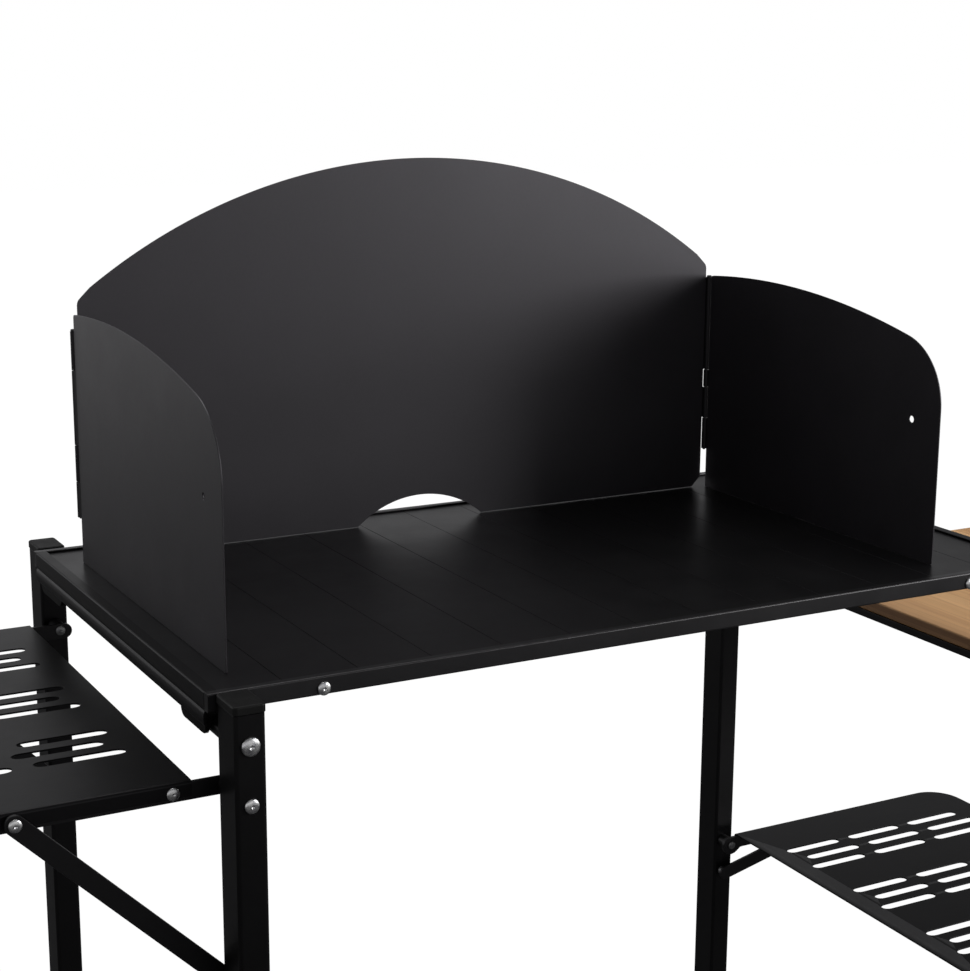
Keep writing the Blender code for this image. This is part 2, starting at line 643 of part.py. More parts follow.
for side, right in (("left", False), ("right", True)):
    px = SCREEN_PIN_X[1 if right else 0]
    x0, x1 = (px, px + SCREEN_T) if right else (px - SCREEN_T, px)
    panel = Piece(f"screen_{side}", f"screen_{side}_panel", material(f"screen_{side}", BLACK, 0.38, 0.0))
    prism(panel.bm, "x", side_outline(right), x0, x1)
    for low, high in span_side(right):
        box(panel.union(), x0, SCREEN_PIN_Y - 5.0, low, x1, SCREEN_PIN_Y - 1.7, high)
    knuckles(panel, px, span_side(right))
    prism(panel.cutter(), "z", circle(px, SCREEN_PIN_Y, KNUCKLE_HOLE, 8), 20.0, 180.0)
    prism(panel.cutter(), "x", circle(63.5, 100.0, 2.5, 14), x0 - 1, x1 + 1)
    panel.build()

    pin = Piece(f"hinge_pin_{side}", "windscreen", material(f"hinge_pin_{side}", BLACK, 0.4, 0.2))
    high = HINGE_LAST[1 if right else 0][1]
    prism(pin.bm, "z", circle(px, SCREEN_PIN_Y, HINGE_PIN_R, 8), HINGE_Z[0] - 1.0, high + 1.0)
    dome(pin.union(), "z", px, SCREEN_PIN_Y, high + GAP, 1.2, 2.2)
    pin.build()


# ---- wings --------------------------------------------------------------
def arm(name, wing, mat, pivot, way, front, length, lobe, top, reach, bolts=()):
    """Flat bar that carries a wing: a round lobe on the pivot pin, the pin's
    collar up to the leg, the pin itself and its heads, and the bolts that hold
    the shelf's rim."""
    piece = Piece(name, wing, mat)
    px, pz = pivot
    y0 = ARM_FRONT_Y if front else ARM_REAR_Y
    y1 = y0 + ARM_T
    low = top - ARM_H
    # lobe as an arc on the side away from the wing
    start = math.degrees(math.asin(min(1.0, (top - pz) / lobe)))
    loop = []
    steps = 10
    a0, a1 = 90.0 if top - pz >= lobe - 0.5 else start, -90.0
    for i in range(steps + 1):
        a = math.radians(a0 + (a1 - a0) * i / steps)
        loop.append((px - way * lobe * math.cos(a), pz + lobe * math.sin(a)))
    if lobe > ARM_H * 0.6:
        back_reach = math.sqrt(lobe * lobe - (low - pz) ** 2)
        loop.append((px + way * (back_reach * 0.75), pz - lobe * 0.72))
        loop.append((px + way * (back_reach + 4.0), low))
    else:
        # no lobe: the bar itself ends in a half round just past the pivot
        a0 = start
        loop = []
        for i in range(steps + 1):
            a = math.radians(90.0 - 180.0 * i / steps)
            loop.append((px - way * (ARM_TAIL - lobe + lobe * math.cos(a)), (top + low) / 2 + lobe * math.sin(a)))
    end = px + way * length
    loop += [(end - way * 3.0, low), (end, low + 3.0), (end, top - 1.0), (end - way * 1.0, top)]
    if a0 == 90.0:
        loop.append((px + way * 2.0, top))
    prism(piece.bm, "y", loop, y0, y1)
    leg_in, leg_out = (FRONT_LEG[1], FRONT_LEG[0]) if front else (REAR_LEG[0], REAR_LEG[1])
    s = -1.0 if front else 1.0  # from the arm to its leg
    near = y0 if front else y1
    lo, hi = sorted((near - s * 0.5, leg_in - s * GAP))
    prism(piece.union(), "y", circle(px, pz, 5.5, 12), lo, hi)
    lo, hi = sorted((near - s * 0.8, leg_out + s * 0.8))
    prism(piece.union(), "y", circle(px, pz, PIN_R, 10), lo, hi)
    dome(piece.union(), "y", px, pz, leg_out + s * GAP, s * PIN_HEAD_H, PIN_HEAD_R)
    inner = y1 if front else y0
    dome(piece.union(), "y", px, pz, inner + s * 0.2, -s * 1.4, 3.6)
    rim = SHELF_Y[0] if front else SHELF_Y[1]
    for bx in bolts:
        lo, hi = sorted((near - s * 0.8, rim + s * 0.8))
        prism(piece.union(), "y", circle(bx, top - 5.0, 2.0, 10), lo, hi)
        dome(piece.union(), "y", bx, top - 5.0, rim + s * GAP, s * 1.6, 4.0)
    prism(piece.cutter(), "y", circle(px + way * reach, pz, 2.5 + 0.25, 10), y0 - 1, y1 + 1)
    piece.build()


def stay(name, holder, mat, pivot, way, front, reach, drop):
    """Flat strut from the wing to the stud under its pivot."""
    piece = Piece(name, holder, mat)
    px, pz = pivot
    qx, qz = px + way * reach, pz
    rx, rz = px, pz - drop
    y0 = STAY_FRONT_Y if front else STAY_REAR_Y
    along = math.atan2(rz - qz, rx - qx)
    half = STAY_W / 2
    loop = []
    for (cx, cz), facing in (((qx, qz), along + math.pi), ((rx, rz), along)):
        for i in range(8):
            a = facing - math.pi / 2 + math.pi * i / 7
            loop.append((cx + half * math.cos(a), cz + half * math.sin(a)))
    prism(piece.bm, "y", loop, y0, y0 + STAY_T)
    arm_in = ARM_FRONT_Y + ARM_T if front else ARM_REAR_Y
    s = 1.0 if front else -1.0  # from the stay to the arm
    face = y0 + STAY_T if front else y0
    skin = SHELF_Y[0] - GAP if front else SHELF_Y[1] + GAP
    lo, hi = sorted((face - s * 0.5, skin))
    prism(piece.union(), "y", circle(qx, qz, 4.5, 10), lo, hi)
    lo, hi = sorted((face - s * 0.8, arm_in + s * 0.9))
    prism(piece.union(), "y", circle(qx, qz, 2.5, 10), lo, hi)
    dome(piece.union(), "y", qx, qz, arm_in + s * GAP, s * 1.4, 4.0)
    outer = y0 if front else y0 + STAY_T
    dome(piece.union(), "y", qx, qz, outer + s * 0.2, -s * 1.6, 4.0)
    piece.build()


def slot_outline(x0, x1, y):
    """A slot with rounded ends."""
    r = SLOT_W / 2
    loop = []
    for cx, start in ((x1 - r * 1.3, -90), (x0 + r * 1.3, 90)):
        sign = 1 if start == -90 else -1
        for i in range(3):
            a = math.radians(-60 + 60 * i)
            loop.append((cx + sign * 1.3 * r * math.cos(a), y + sign * r * math.sin(a)))
    return loop


def slotted_shelf(name, wing, mat, edge, way, length, z, pivot, columns, bolts, reach):
    """Pressed sheet with a turned-down rim on three sides, open on the inner
    side for the arms, and rows of slots in staggered groups of three."""
    piece = Piece(name, wing, mat)
    y0, y1 = SHELF_Y
    far = edge + way * length
    x0, x1 = sorted((edge, far))
    near_r, far_r = 2.0, SHELF_CORNER
    radii = [far_r, near_r, near_r, far_r] if way < 0 else [near_r, far_r, far_r, near_r]
    prism(piece.bm, "z", rounded(x0, y0, x1, y1, radii, 6), z - SHELF_FLANGE, z)
    t = SHELF_T
    hollow = piece.cutter()
    ix0, ix1 = (x0 + t, x1 + 5.0) if way < 0 else (x0 - 5.0, x1 - t)
    inner = [far_r - t, 0.5, 0.5, far_r - t] if way < 0 else [0.5, far_r - t, far_r - t, 0.5]
    prism(hollow, "z", rounded(ix0, y0 + t, ix1, y1 - t, inner, 6), z - SHELF_FLANGE - 5.0, z - t)
    slots = piece.cutter()
    for c in range(columns):
        for g in (-1, 0, 1):
            for k in (-1, 0, 1):
                y = TOP_D / 2 + SLOT_SHIFT + g * SLOT_GROUP + k * SLOT_ROW
                start = SLOT_MARGIN + c * SLOT_PITCH_X + (SLOT_STAGGER if k == 0 else 0.0)
                a, b = sorted((edge + way * start, edge + way * (start + SLOT_L)))
                prism(slots, "z", slot_outline(a, b, y), z - 6.0, z + 4.0)
    holes = piece.cutter()
    qx = pivot[0] + way * reach
    for lo, hi in ((y0 - 1, y0 + t + 1), (y1 - t - 1, y1 + 1)):
        prism(holes, "y", circle(qx, pivot[1], 2.5 + 0.35, 10), lo, hi)
        for bx in bolts:
            prism(holes, "y", circle(bx, z - t - GAP - 5.0, 2.0 + 0.25, 10), lo, hi)
    piece.build()


def black(name):
    return material(name, BLACK, 0.42, 0.0)


LEFT_BOLTS = (-19.5, -284.0)
LOWER_BOLTS = (TOP_W + 19.5, TOP_W + 196.0)
left_top = LEFT_SHELF_Z - SHELF_T - GAP
lower_top = LOWER_SHELF_Z - SHELF_T - GAP
slotted_shelf("left_shelf", "left_wing", material("left_shelf", BLACK, 0.36, 0.0), -SHELF_EDGE, -1.0, LEFT_SHELF_L, LEFT_SHELF_Z, LEFT_PIVOT, 4, LEFT_BOLTS, LEFT_REACH)
slotted_shelf("lower_shelf", "lower_wing", material("lower_shelf", BLACK, 0.36, 0.0), TOP_W + LOWER_SHELF_EDGE, 1.0, LOWER_SHELF_L, LOWER_SHELF_Z, LOWER_PIVOT, 3, LOWER_BOLTS, STAY_REACH)
for end, front in (("front", True), ("rear", False)):
    arm(f"left_arm_{end}", "left_wing", black(f"left_arm_{end}"), LEFT_PIVOT, -1.0, front, 305.0, ARM_H / 2, left_top, LEFT_REACH, LEFT_BOLTS)
    stay(f"left_stay_{end}", "left_stays", black(f"left_stay_{end}"), LEFT_PIVOT, -1.0, front, LEFT_REACH, LEFT_DROP)
    arm(f"lower_arm_{end}", "lower_wing", black(f"lower_arm_{end}"), LOWER_PIVOT, 1.0, front, 218.0, 9.0, lower_top, STAY_REACH, LOWER_BOLTS)
    stay(f"lower_stay_{end}", "lower_stays", black(f"lower_stay_{end}"), LOWER_PIVOT, 1.0, front, STAY_REACH, STAY_DROP)

board = Piece("bamboo_board", "bamboo_wing", material("bamboo_board", (0.55, 0.33, 0.15), 0.45, 0.0))
board_x = TOP_W + SHELF_EDGE
prism(board.bm, "z", rounded(board_x, SHELF_Y[0], board_x + BAMBOO_L, SHELF_Y[1], [2.0, 20.0, 20.0, 2.0], 5), BAMBOO_Z - BAMBOO_T, BAMBOO_Z)
made_board = board.build()
bevel = made_board.modifiers.new("Bevel", "BEVEL")
bevel.width = 1.0 * MM
bevel.segments = 1
bevel.limit_method = "ANGLE"
bevel.angle_limit = math.radians(60)

bamboo_top = BAMBOO_Z - BAMBOO_T - GAP
for end, front in (("front", True), ("rear", False)):
    arm(f"bamboo_arm_{end}", "bamboo_wing", black(f"bamboo_arm_{end}"), RIGHT_PIVOT, 1.0, front, 224.0, 10.0, bamboo_top, STAY_REACH)
    stay(f"bamboo_stay_{end}", "bamboo_stays", black(f"bamboo_stay_{end}"), RIGHT_PIVOT, 1.0, front, STAY_REACH, STAY_DROP)

end_rail = Piece("bamboo_end_rail", "bamboo_wing", material("bamboo_end_rail", BLACK, 0.42, 0.0))
prism(end_rail.bm, "y", [(board_x, bamboo_top), (board_x, bamboo_top - 6.0), (board_x + 1.5, bamboo_top - 6.0), (board_x + 1.5, bamboo_top - 1.5), (board_x + 14.0, bamboo_top - 1.5), (board_x + 14.0, bamboo_top)], ARM_FRONT_Y + ARM_T + GAP, ARM_REAR_Y - GAP)
end_rail.build()


# ---- scissor brace ------------------------------------------------------
def bar(name, holder, p, q, layer, cross, pins, holes, collars=()):
    """Flat bar with round ends from p to q. pins are (point, far y) that it
    carries through its neighbour, holes the points where another's pin passes."""
    piece = Piece(name, holder, material(name, BLACK, 0.42, 0.0))
    y0 = BRACE_Y[layer]
    y1 = y0 + BRACE_T
    half = BRACE_W / 2
    along = math.atan2(q[1] - p[1], q[0] - p[0])
    loop = []
    for (cx, cz), facing in ((q, along), (p, along + math.pi)):
        for i in range(8):
            a = facing - math.pi / 2 + math.pi * i / 7
            loop.append((cx + half * math.cos(a), cz + half * math.sin(a)))
    prism(piece.bm, "y", loop, y0, y1)
    for (cx, cz), lo, hi in collars:
        prism(piece.union(), "y", circle(cx, cz, 6.0, 12), lo, hi)
    for (cx, cz), lo, hi, head, s in pins:
        prism(piece.union(), "y", circle(cx, cz, PIN_R, 10), lo, hi)
        if head is not None:
            dome(piece.union(), "y", cx, cz, head, s, 5.0)
    cut = piece.cutter() if holes else None
    for cx, cz in holes:
        prism(cut, "y", circle(cx, cz, PIN_R + 0.25, 10), y0 - 1, y1 + 1)
    piece.build()


LAYER_0, LAYER_1 = BRACE_Y
BACK_0, BACK_1 = LAYER_0 + BRACE_T, LAYER_1 + BRACE_T
LEG_BACK = REAR_LEG[1]
SLEEVE_BACK = LEG_BACK + 0.4 + SLEEVE_WALL

# bar a: left leg's low pivot to the middle top joint, front layer; it carries
# the pins of the left crossing and of the middle top joint
bar("brace_bar_a", "brace_a", LOW_L, MID_T, 0, CROSS_L,
    pins=[(LOW_L, LEG_BACK - 8.0, LAYER_0 + 1.0, None, 0), (LOW_L, BACK_0 - 0.5, BACK_0 + 0.4, BACK_0 - 0.2, 1.6),
          (CROSS_L, BACK_0 - 1.0, BACK_1 + 0.6, BACK_1 + GAP, 1.2), (MID_T, BACK_0 - 1.0, BACK_1 + 0.6, BACK_1 + GAP, 1.2)],
    holes=[], collars=[(LOW_L, LEG_BACK + GAP, LAYER_0 + 0.5)])
# bar b: left sleeve to the middle bottom joint, rear layer
bar("brace_bar_b", "brace_b", UP_L, MID_B, 1, CROSS_L,
    pins=[(UP_L, LEG_BACK + 1.2, LAYER_1 + 1.0, None, 0), (UP_L, BACK_1 - 0.5, BACK_1 + 0.4, BACK_1 - 0.2, 1.6)],
    holes=[CROSS_L, MID_B], collars=[(UP_L, SLEEVE_BACK + GAP, LAYER_1 + 0.5)])
# bar c: middle top joint to the right leg's low pivot, rear layer
bar("brace_bar_c", "brace_c", MID_T, LOW_R, 1, CROSS_R,
    pins=[(LOW_R, LEG_BACK - 8.0, LAYER_1 + 1.0, None, 0), (LOW_R, BACK_1 - 0.5, BACK_1 + 0.4, BACK_1 - 0.2, 1.6)],
    holes=[MID_T, CROSS_R], collars=[(LOW_R, LEG_BACK + GAP, LAYER_1 + 0.5)])
# bar d: middle bottom joint to the right sleeve, front layer
bar("brace_bar_d", "brace_d", MID_B, UP_R, 0, CROSS_R,
    pins=[(UP_R, LEG_BACK + 1.2, LAYER_0 + 1.0, None, 0), (UP_R, BACK_0 - 0.5, BACK_0 + 0.4, BACK_0 - 0.2, 1.6),
          (CROSS_R, BACK_0 - 1.0, BACK_1 + 0.6, BACK_1 + GAP, 1.2), (MID_B, BACK_0 - 1.0, BACK_1 + 0.6, BACK_1 + GAP, 1.2)],
    holes=[], collars=[(UP_R, SLEEVE_BACK + GAP, LAYER_0 + 0.5)])

for side, right, at in (("left", False, UP_L), ("right", True, UP_R)):
    sleeve = Piece(f"brace_sleeve_{side}", f"slide_{side}", material(f"brace_sleeve_{side}", (0.02, 0.02, 0.02), 0.55, 0.0))
    x0 = TOP_W - LEG_INSET - LEG_W if right else LEG_INSET
    y0, y1 = REAR_LEG
    w = SLEEVE_WALL
    inner = rounded(x0 - 0.4, y0 - 0.4, x0 + LEG_W + 0.4, y1 + 0.4, 2.6, 2)
    outer = rounded(x0 - 0.4 - w, y0 - 0.4 - w, x0 + LEG_W + 0.4 + w, y1 + 0.4 + w, 4.0, 2)
    prism(sleeve.bm, "z", outer, at[1] - SLEEVE_H / 2, at[1] + SLEEVE_H / 2, holes=[inner])
    prism(sleeve.cutter(), "y", circle(at[0], at[1], PIN_R + 0.25, 10), y1 - 2.0, y1 + 6.0)
    sleeve.build()
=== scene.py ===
"""Looks of the folding camp kitchen stand: every sheet, slat, tube and rivet is
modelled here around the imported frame, with powder coat, zinc, moulded plastic
and bamboo, and lit in a pale studio.

Lengths are millimetres in the top's own frame: x from the left end of the top,
y from its front rail backwards, z up from the rails' upper face.
"""

import json
import math

import bmesh
import bpy
from mathutils import Matrix, Vector, geometry


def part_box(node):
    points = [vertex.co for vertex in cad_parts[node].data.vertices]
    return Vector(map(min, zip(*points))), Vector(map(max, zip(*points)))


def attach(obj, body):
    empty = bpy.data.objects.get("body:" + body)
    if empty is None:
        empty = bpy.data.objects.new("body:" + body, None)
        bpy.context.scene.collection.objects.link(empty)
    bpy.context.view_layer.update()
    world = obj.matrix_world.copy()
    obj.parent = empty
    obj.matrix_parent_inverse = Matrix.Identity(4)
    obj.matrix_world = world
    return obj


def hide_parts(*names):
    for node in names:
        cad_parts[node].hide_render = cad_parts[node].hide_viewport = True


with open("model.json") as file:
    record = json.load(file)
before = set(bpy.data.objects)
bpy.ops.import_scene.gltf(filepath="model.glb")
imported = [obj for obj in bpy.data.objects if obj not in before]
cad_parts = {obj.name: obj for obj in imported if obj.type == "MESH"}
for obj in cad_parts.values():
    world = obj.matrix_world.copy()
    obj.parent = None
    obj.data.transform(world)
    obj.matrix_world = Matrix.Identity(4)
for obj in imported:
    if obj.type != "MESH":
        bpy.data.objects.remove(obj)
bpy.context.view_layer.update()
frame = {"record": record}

MM = 0.001
LOW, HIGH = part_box("front_rail")
ORIGIN = Vector((LOW.x, LOW.y, HIGH.z))
BODY = {n: b for b, ns in frame["record"]["behaviour"]["bodies"].items() for n in ns}

TOP_W, TOP_D = 640.0, 360.0
GAP = 0.3
RAIL_H, RAIL_LIP, RAIL_T = 11.5, 6.0, 1.2
SIDE_H, SIDE_LIP, SIDE_T = 21.5, 8.0, 1.8
SLATS = 13
SLAT_PITCH = TOP_W / SLATS
SLAT_TOP = -1.5
LEG_W, LEG_D, LEG_INSET = 19.0, 28.0, 4.5
FRONT_LEG = (-30.0, -2.0)
REAR_LEG = (TOP_D + 2.0, TOP_D + 30.0)
POST_X = 13.75
TOP_TUBE_Z, BOTTOM_TUBE_Z = -23.5, -700.0
LEFT_PIVOT = (13.75, -59.2)
RIGHT_PIVOT = (TOP_W - 15.5, -102.7)
LOWER_PIVOT = (TOP_W - 15.5, -350.0)
ARM_T, ARM_H, ARM_TAIL = 3.0, 11.0, 8.7
ARM_Y = (9.5, TOP_D - 12.5)
LEFT_STAY, RIGHT_STAY = (126.0, 126.0), (125.0, 30.0)
STUD_SHORT = 1.8
STAY_W, STAY_T = 12.0, 2.5
STAY_Y = (3.0, TOP_D - 5.5)
SHELF_Y = (8.0, TOP_D - 8.0)
PIN_X, PIN_Y = (25.0, 561.5), 321.0
HINGE_Z = (31.0, 57.2, 83.4)
HINGE_LAST = ((137.0, 164.6), (98.0, 175.0))
CAP_OUT, CAP_TOP = 0.5, 0.7
EDGE_BACK, EDGE_SIDE = (3.5, 2.9), (4.0, 2.9)


# ---- mesh tools ---------------------------------------------------------
def to3(axis, u, v, w):
    if axis == "x":
        return (w, u, v)
    if axis == "y":
        return (u, w, v)
    return (u, v, w)


class Shape:
    """A mesh in the top's millimetres whose points weld as they are added."""

    def __init__(self):
        self.bm = bmesh.new()
        self.at = {}

    def vert(self, p):
        key = (round(p[0], 3), round(p[1], 3), round(p[2], 3))
        if key not in self.at:
            self.at[key] = self.bm.verts.new(p)
        return self.at[key]

    def face(self, points):
        verts = []
        for p in points:
            v = self.vert(p)
            if v not in verts:
                verts.append(v)
        if len(verts) < 3:
            return
        try:
            self.bm.faces.new(verts)
        except ValueError:
            pass

    def strip(self, a, b, closed=True):
        n = len(a)
        for i in range(n if closed else n - 1):
            j = (i + 1) % n
            self.face((a[i], a[j], b[j], b[i]))


def area(loop):
    return 0.5 * sum(a[0] * b[1] - b[0] * a[1] for a, b in zip(loop, loop[1:] + loop[:1]))


def ccw(loop):
    loop = list(loop)
    return loop if area(loop) > 0 else loop[::-1]


def offset(loop, d):
    """The loop moved inwards by d, for a loop that runs anticlockwise."""
    if abs(d) < 1e-9:
        return list(loop)
    out = []
    n = len(loop)
    for i in range(n):
        x0, y0 = loop[i - 1]
        x1, y1 = loop[i]
        x2, y2 = loop[(i + 1) % n]
        ax, ay, bx, by = x1 - x0, y1 - y0, x2 - x1, y2 - y1
        la, lb = math.hypot(ax, ay) or 1e-9, math.hypot(bx, by) or 1e-9
        ux, uy, vx, vy = -ay / la, ax / la, -by / lb, bx / lb
        k = max(1 + ux * vx + uy * vy, 0.35)
        out.append((x1 + d * (ux + vx) / k, y1 + d * (uy + vy) / k))
    return out


def inside(p, loop):
    hit = False
    x, y = p
    for (x0, y0), (x1, y1) in zip(loop, loop[1:] + loop[:1]):
        if (y0 > y) != (y1 > y) and x < (x1 - x0) * (y - y0) / (y1 - y0) + x0:
            hit = not hit
    return hit


def fill(outer, holes=()):
    """Flat faces of a region with holes, as lists of points."""
    if not holes:
        return [list(outer)]
    verts, edges = [], []
    for loop in [outer] + list(holes):
        base = len(verts)
        verts += [Vector(p) for p in loop]
        edges += [(base + i, base + (i + 1) % len(loop)) for i in range(len(loop))]
    coords, _, faces, _, _, _ = geometry.delaunay_2d_cdt(verts, edges, [], 0, 1e-6)
    kept = []
    for f in faces:
        points = [(coords[i].x, coords[i].y) for i in f]
        mid = (sum(p[0] for p in points) / len(points), sum(p[1] for p in points) / len(points))
        if inside(mid, list(outer)) and not any(inside(mid, h) for h in holes):
            kept.append(points)
    return kept


def stack(shape, axis, outline, levels, holes=()):
    """An outline built up along an axis through levels of (w, inset)."""
    outline = ccw(outline)
    holes = [ccw(h) for h in holes]
    rings = []
    for w, inset in levels:
        rings.append((w, offset(outline, inset), [offset(h, -inset) for h in holes]))
    for (w0, o0, h0), (w1, o1, h1) in zip(rings, rings[1:]):
        for a, b in [(o0, o1)] + list(zip(h0, h1)):
            shape.strip([to3(axis, u, v, w0) for u, v in a], [to3(axis, u, v, w1) for u, v in b])
    for w, o, h in (rings[0], rings[-1]):
        for points in fill(o, h):
            shape.face([to3(axis, u, v, w) for u, v in points])


def plate(shape, axis, outline, low, high, b=0.4, n=2, holes=()):
    """A flat piece whose edges are rounded over by b."""
    b = min(b, (high - low) * 0.49)
    levels = []
    for k in range(n + 1):
        a = math.pi / 2 * k / n
        levels.append((low + b * (1 - math.cos(a)), b * (1 - math.sin(a))))
    levels += [(low + high - w, inset) for w, inset in reversed(levels)]
    stack(shape, axis, outline, levels, holes)


def lathe(shape, axis, cu, cv, base, way, profile, n=32):
    """A turned form: profile is (radius, height) points, height measured from
    base in the direction way. It starts and ends on the axis or is closed there."""
    rings = []
    for r, h in profile:
        if r < 1e-6:
            rings.append([to3(axis, cu, cv, base + way * h)])
        else:
            rings.append([to3(axis, cu + r * math.cos(2 * math.pi * (i + 0.5) / n), cv + r * math.sin(2 * math.pi * (i + 0.5) / n), base + way * h) for i in range(n)])
    for a, b in zip(rings, rings[1:]):
        if len(a) == 1 or len(b) == 1:
            tip, ring = (a[0], b) if len(a) == 1 else (b[0], a)
            for i in range(n):
                shape.face((tip, ring[i], ring[(i + 1) % n]))
        else:
            shape.strip(a, b)
    for ring in (rings[0], rings[-1]):
        if len(ring) > 1:
            shape.face(ring)


def circle(cu, cv, r, n=32):
    return [(cu + r * math.cos(2 * math.pi * (i + 0.5) / n), cv + r * math.sin(2 * math.pi * (i + 0.5) / n)) for i in range(n)]


def arc(cu, cv, r, start, end, n):
    return [(cu + r * math.cos(math.radians(start + (end - start) * i / n)), cv + r * math.sin(math.radians(start + (end - start) * i / n))) for i in range(n + 1)]


def rounded(u0, v0, u1, v1, r, n=6):
    radii = [r] * 4 if not isinstance(r, (list, tuple)) else list(r)
    points = []
    for cu, cv, start, rad in (
        (u0 + radii[0], v0 + radii[0], 180, radii[0]),
        (u1 - radii[1], v0 + radii[1], 270, radii[1]),
        (u1 - radii[2], v1 - radii[2], 0, radii[2]),
        (u0 + radii[3], v1 - radii[3], 90, radii[3]),
    ):
        points += arc(cu, cv, rad, start, start + 90, n if rad > 0 else 0) if rad > 0 else [(cu, cv)]
    return points


def soften(loop, r, n=3):
    """Rounds each corner of a loop by cutting r back along its two sides."""
    out = []
    m = len(loop)
    for i in range(m):
        p, q, s = Vector(loop[i - 1]), Vector(loop[i]), Vector(loop[(i + 1) % m])
        a, b = p - q, s - q
        if a.length < 1e-6 or b.length < 1e-6 or abs(a.angle(b) - math.pi) < math.radians(12):
            out.append(tuple(q))
            continue
        cut = min(r, a.length * 0.45, b.length * 0.45)
        start, end = q + a.normalized() * cut, q + b.normalized() * cut
        for k in range(n + 1):
            t = k / n
            out.append(tuple(start * (1 - t) ** 2 + q * 2 * t * (1 - t) + end * t * t))
    return out


def curve(points, n=6):
    """Catmull-Rom curve through the points."""
    out = []
    pts = [Vector(p) for p in points]
    for i in range(len(pts) - 1):
        p0, p1, p2 = pts[max(i - 1, 0)], pts[i], pts[i + 1]
        p3 = pts[min(i + 2, len(pts) - 1)]
        for k in range(n):
            t = k / n
            out.append(tuple(0.5 * (2 * p1 + (p2 - p0) * t + (2 * p0 - 5 * p1 + 4 * p2 - p3) * t * t + (3 * p1 - p0 - 3 * p2 + p3) * t ** 3)))
    out.append(tuple(pts[-1]))
    return out


def ribbon(path, thick):
    """Closed outline of a sheet bent along an open path, its two faces half a
    thickness either side."""
    pts = [Vector(p) for p in path]
    one, two = [], []
    for i, p in enumerate(pts):
        t = (pts[min(i + 1, len(pts) - 1)] - pts[max(i - 1, 0)]).normalized()
        nrm = Vector((-t.y, t.x)) * thick / 2
        one.append(tuple(p + nrm))
        two.append(tuple(p - nrm))
    return one + two[::-1]


def make(name, shape, mat, node, replace=True, angle=32.0):
    """Turns a shape into a piece that rides with its CAD node's body."""
    bm = shape.bm
    bmesh.ops.recalc_face_normals(bm, faces=bm.faces)
    for v in bm.verts:
        v.co = ORIGIN + v.co * MM
    mesh = bpy.data.meshes.new(name)
    bm.to_mesh(mesh)
    bm.free()
    mesh.shade_smooth()
    mesh.set_sharp_from_angle(angle=math.radians(angle))
    made = bpy.data.objects.new(name, mesh)
    bpy.context.scene.collection.objects.link(made)
    mesh.materials.append(mat)
    even = made.modifiers.new("Even normals", "WEIGHTED_NORMAL")
    even.keep_sharp = True
    even.weight = 70
    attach(made, BODY[node])
    if replace:
        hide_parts(node)
    return made


# ---- materials ----------------------------------------------------------
class Nodes:
    """Small helper that wires one material's node tree."""

    def __init__(self, name):
        self.mat = bpy.data.materials.new(name)
        self.mat.use_nodes = True
        self.tree = self.mat.node_tree
        self.shader = self.tree.nodes["Principled BSDF"]
        self.where = self.new("ShaderNodeTexCoord").outputs["Object"]

    def new(self, kind, **values):
        node = self.tree.nodes.new(kind)
        for key, value in values.items():
            setattr(node, key, value)
        return node

    def link(self, a, b):
        self.tree.links.new(a, b)

    def scaled(self, sx, sy, sz, coords=None):
        node = self.new("ShaderNodeMapping")
        node.inputs["Scale"].default_value = (sx, sy, sz)
        self.link(coords or self.where, node.inputs["Vector"])
        return node.outputs["Vector"]

    def noise(self, scale, detail=3.0, rough=0.55, coords=None, distortion=0.0):
        node = self.new("ShaderNodeTexNoise")
        node.inputs["Scale"].default_value = scale
        node.inputs["Detail"].default_value = detail
        node.inputs["Roughness"].default_value = rough
        node.inputs["Distortion"].default_value = distortion
        self.link(coords or self.where, node.inputs["Vector"])
        return node.outputs["Fac"]

    def ramp(self, fac, stops):
        node = self.new("ShaderNodeValToRGB")
        elements = node.color_ramp.elements
        while len(elements) < len(stops):
            elements.new(0.5)
        for element, (at, colour) in zip(elements, stops):
            element.position = at
            element.color = (*colour, 1.0) if isinstance(colour, (list, tuple)) else (colour, colour, colour, 1.0)
        self.link(fac, node.inputs["Fac"])
        return node.outputs["Color"]

    def span(self, fac, low, high, a=0.0, b=1.0):
        node = self.new("ShaderNodeMapRange")
        node.inputs["From Min"].default_value = low
        node.inputs["From Max"].default_value = high
        node.inputs["To Min"].default_value = a
        node.inputs["To Max"].default_value = b
        self.link(fac, node.inputs["Value"])
        return node.outputs["Result"]

    def math(self, op, a, b=None):
        node = self.new("ShaderNodeMath", operation=op)
        for i, value in enumerate((a, b)):
            if value is None:
                continue
            if isinstance(value, (int, float)):
                node.inputs[i].default_value = value
            else:
                self.link(value, node.inputs[i])
        return node.outputs["Value"]

    def mix(self, fac, a, b, blend="MIX"):
        node = self.new("ShaderNodeMix", data_type="RGBA", blend_type=blend)
        sockets = [s for s in node.inputs if s.type == "RGBA"]
        if isinstance(fac, (int, float)):
            node.inputs[0].default_value = fac
        else:
            self.link(fac, node.inputs[0])
        for socket, value in zip(sockets, (a, b)):
            if isinstance(value, (list, tuple)):
                socket.default_value = (*value, 1.0)
            else:
                self.link(value, socket)
        return [s for s in node.outputs if s.type == "RGBA"][0]

    def bump(self, height, strength, distance, under=None):
        node = self.new("ShaderNodeBump")
        node.inputs["Strength"].default_value = strength
        node.inputs["Distance"].default_value = distance
        self.link(height, node.inputs["Height"])
        if under is not None:
            self.link(under, node.inputs["Normal"])
        return node.outputs["Normal"]


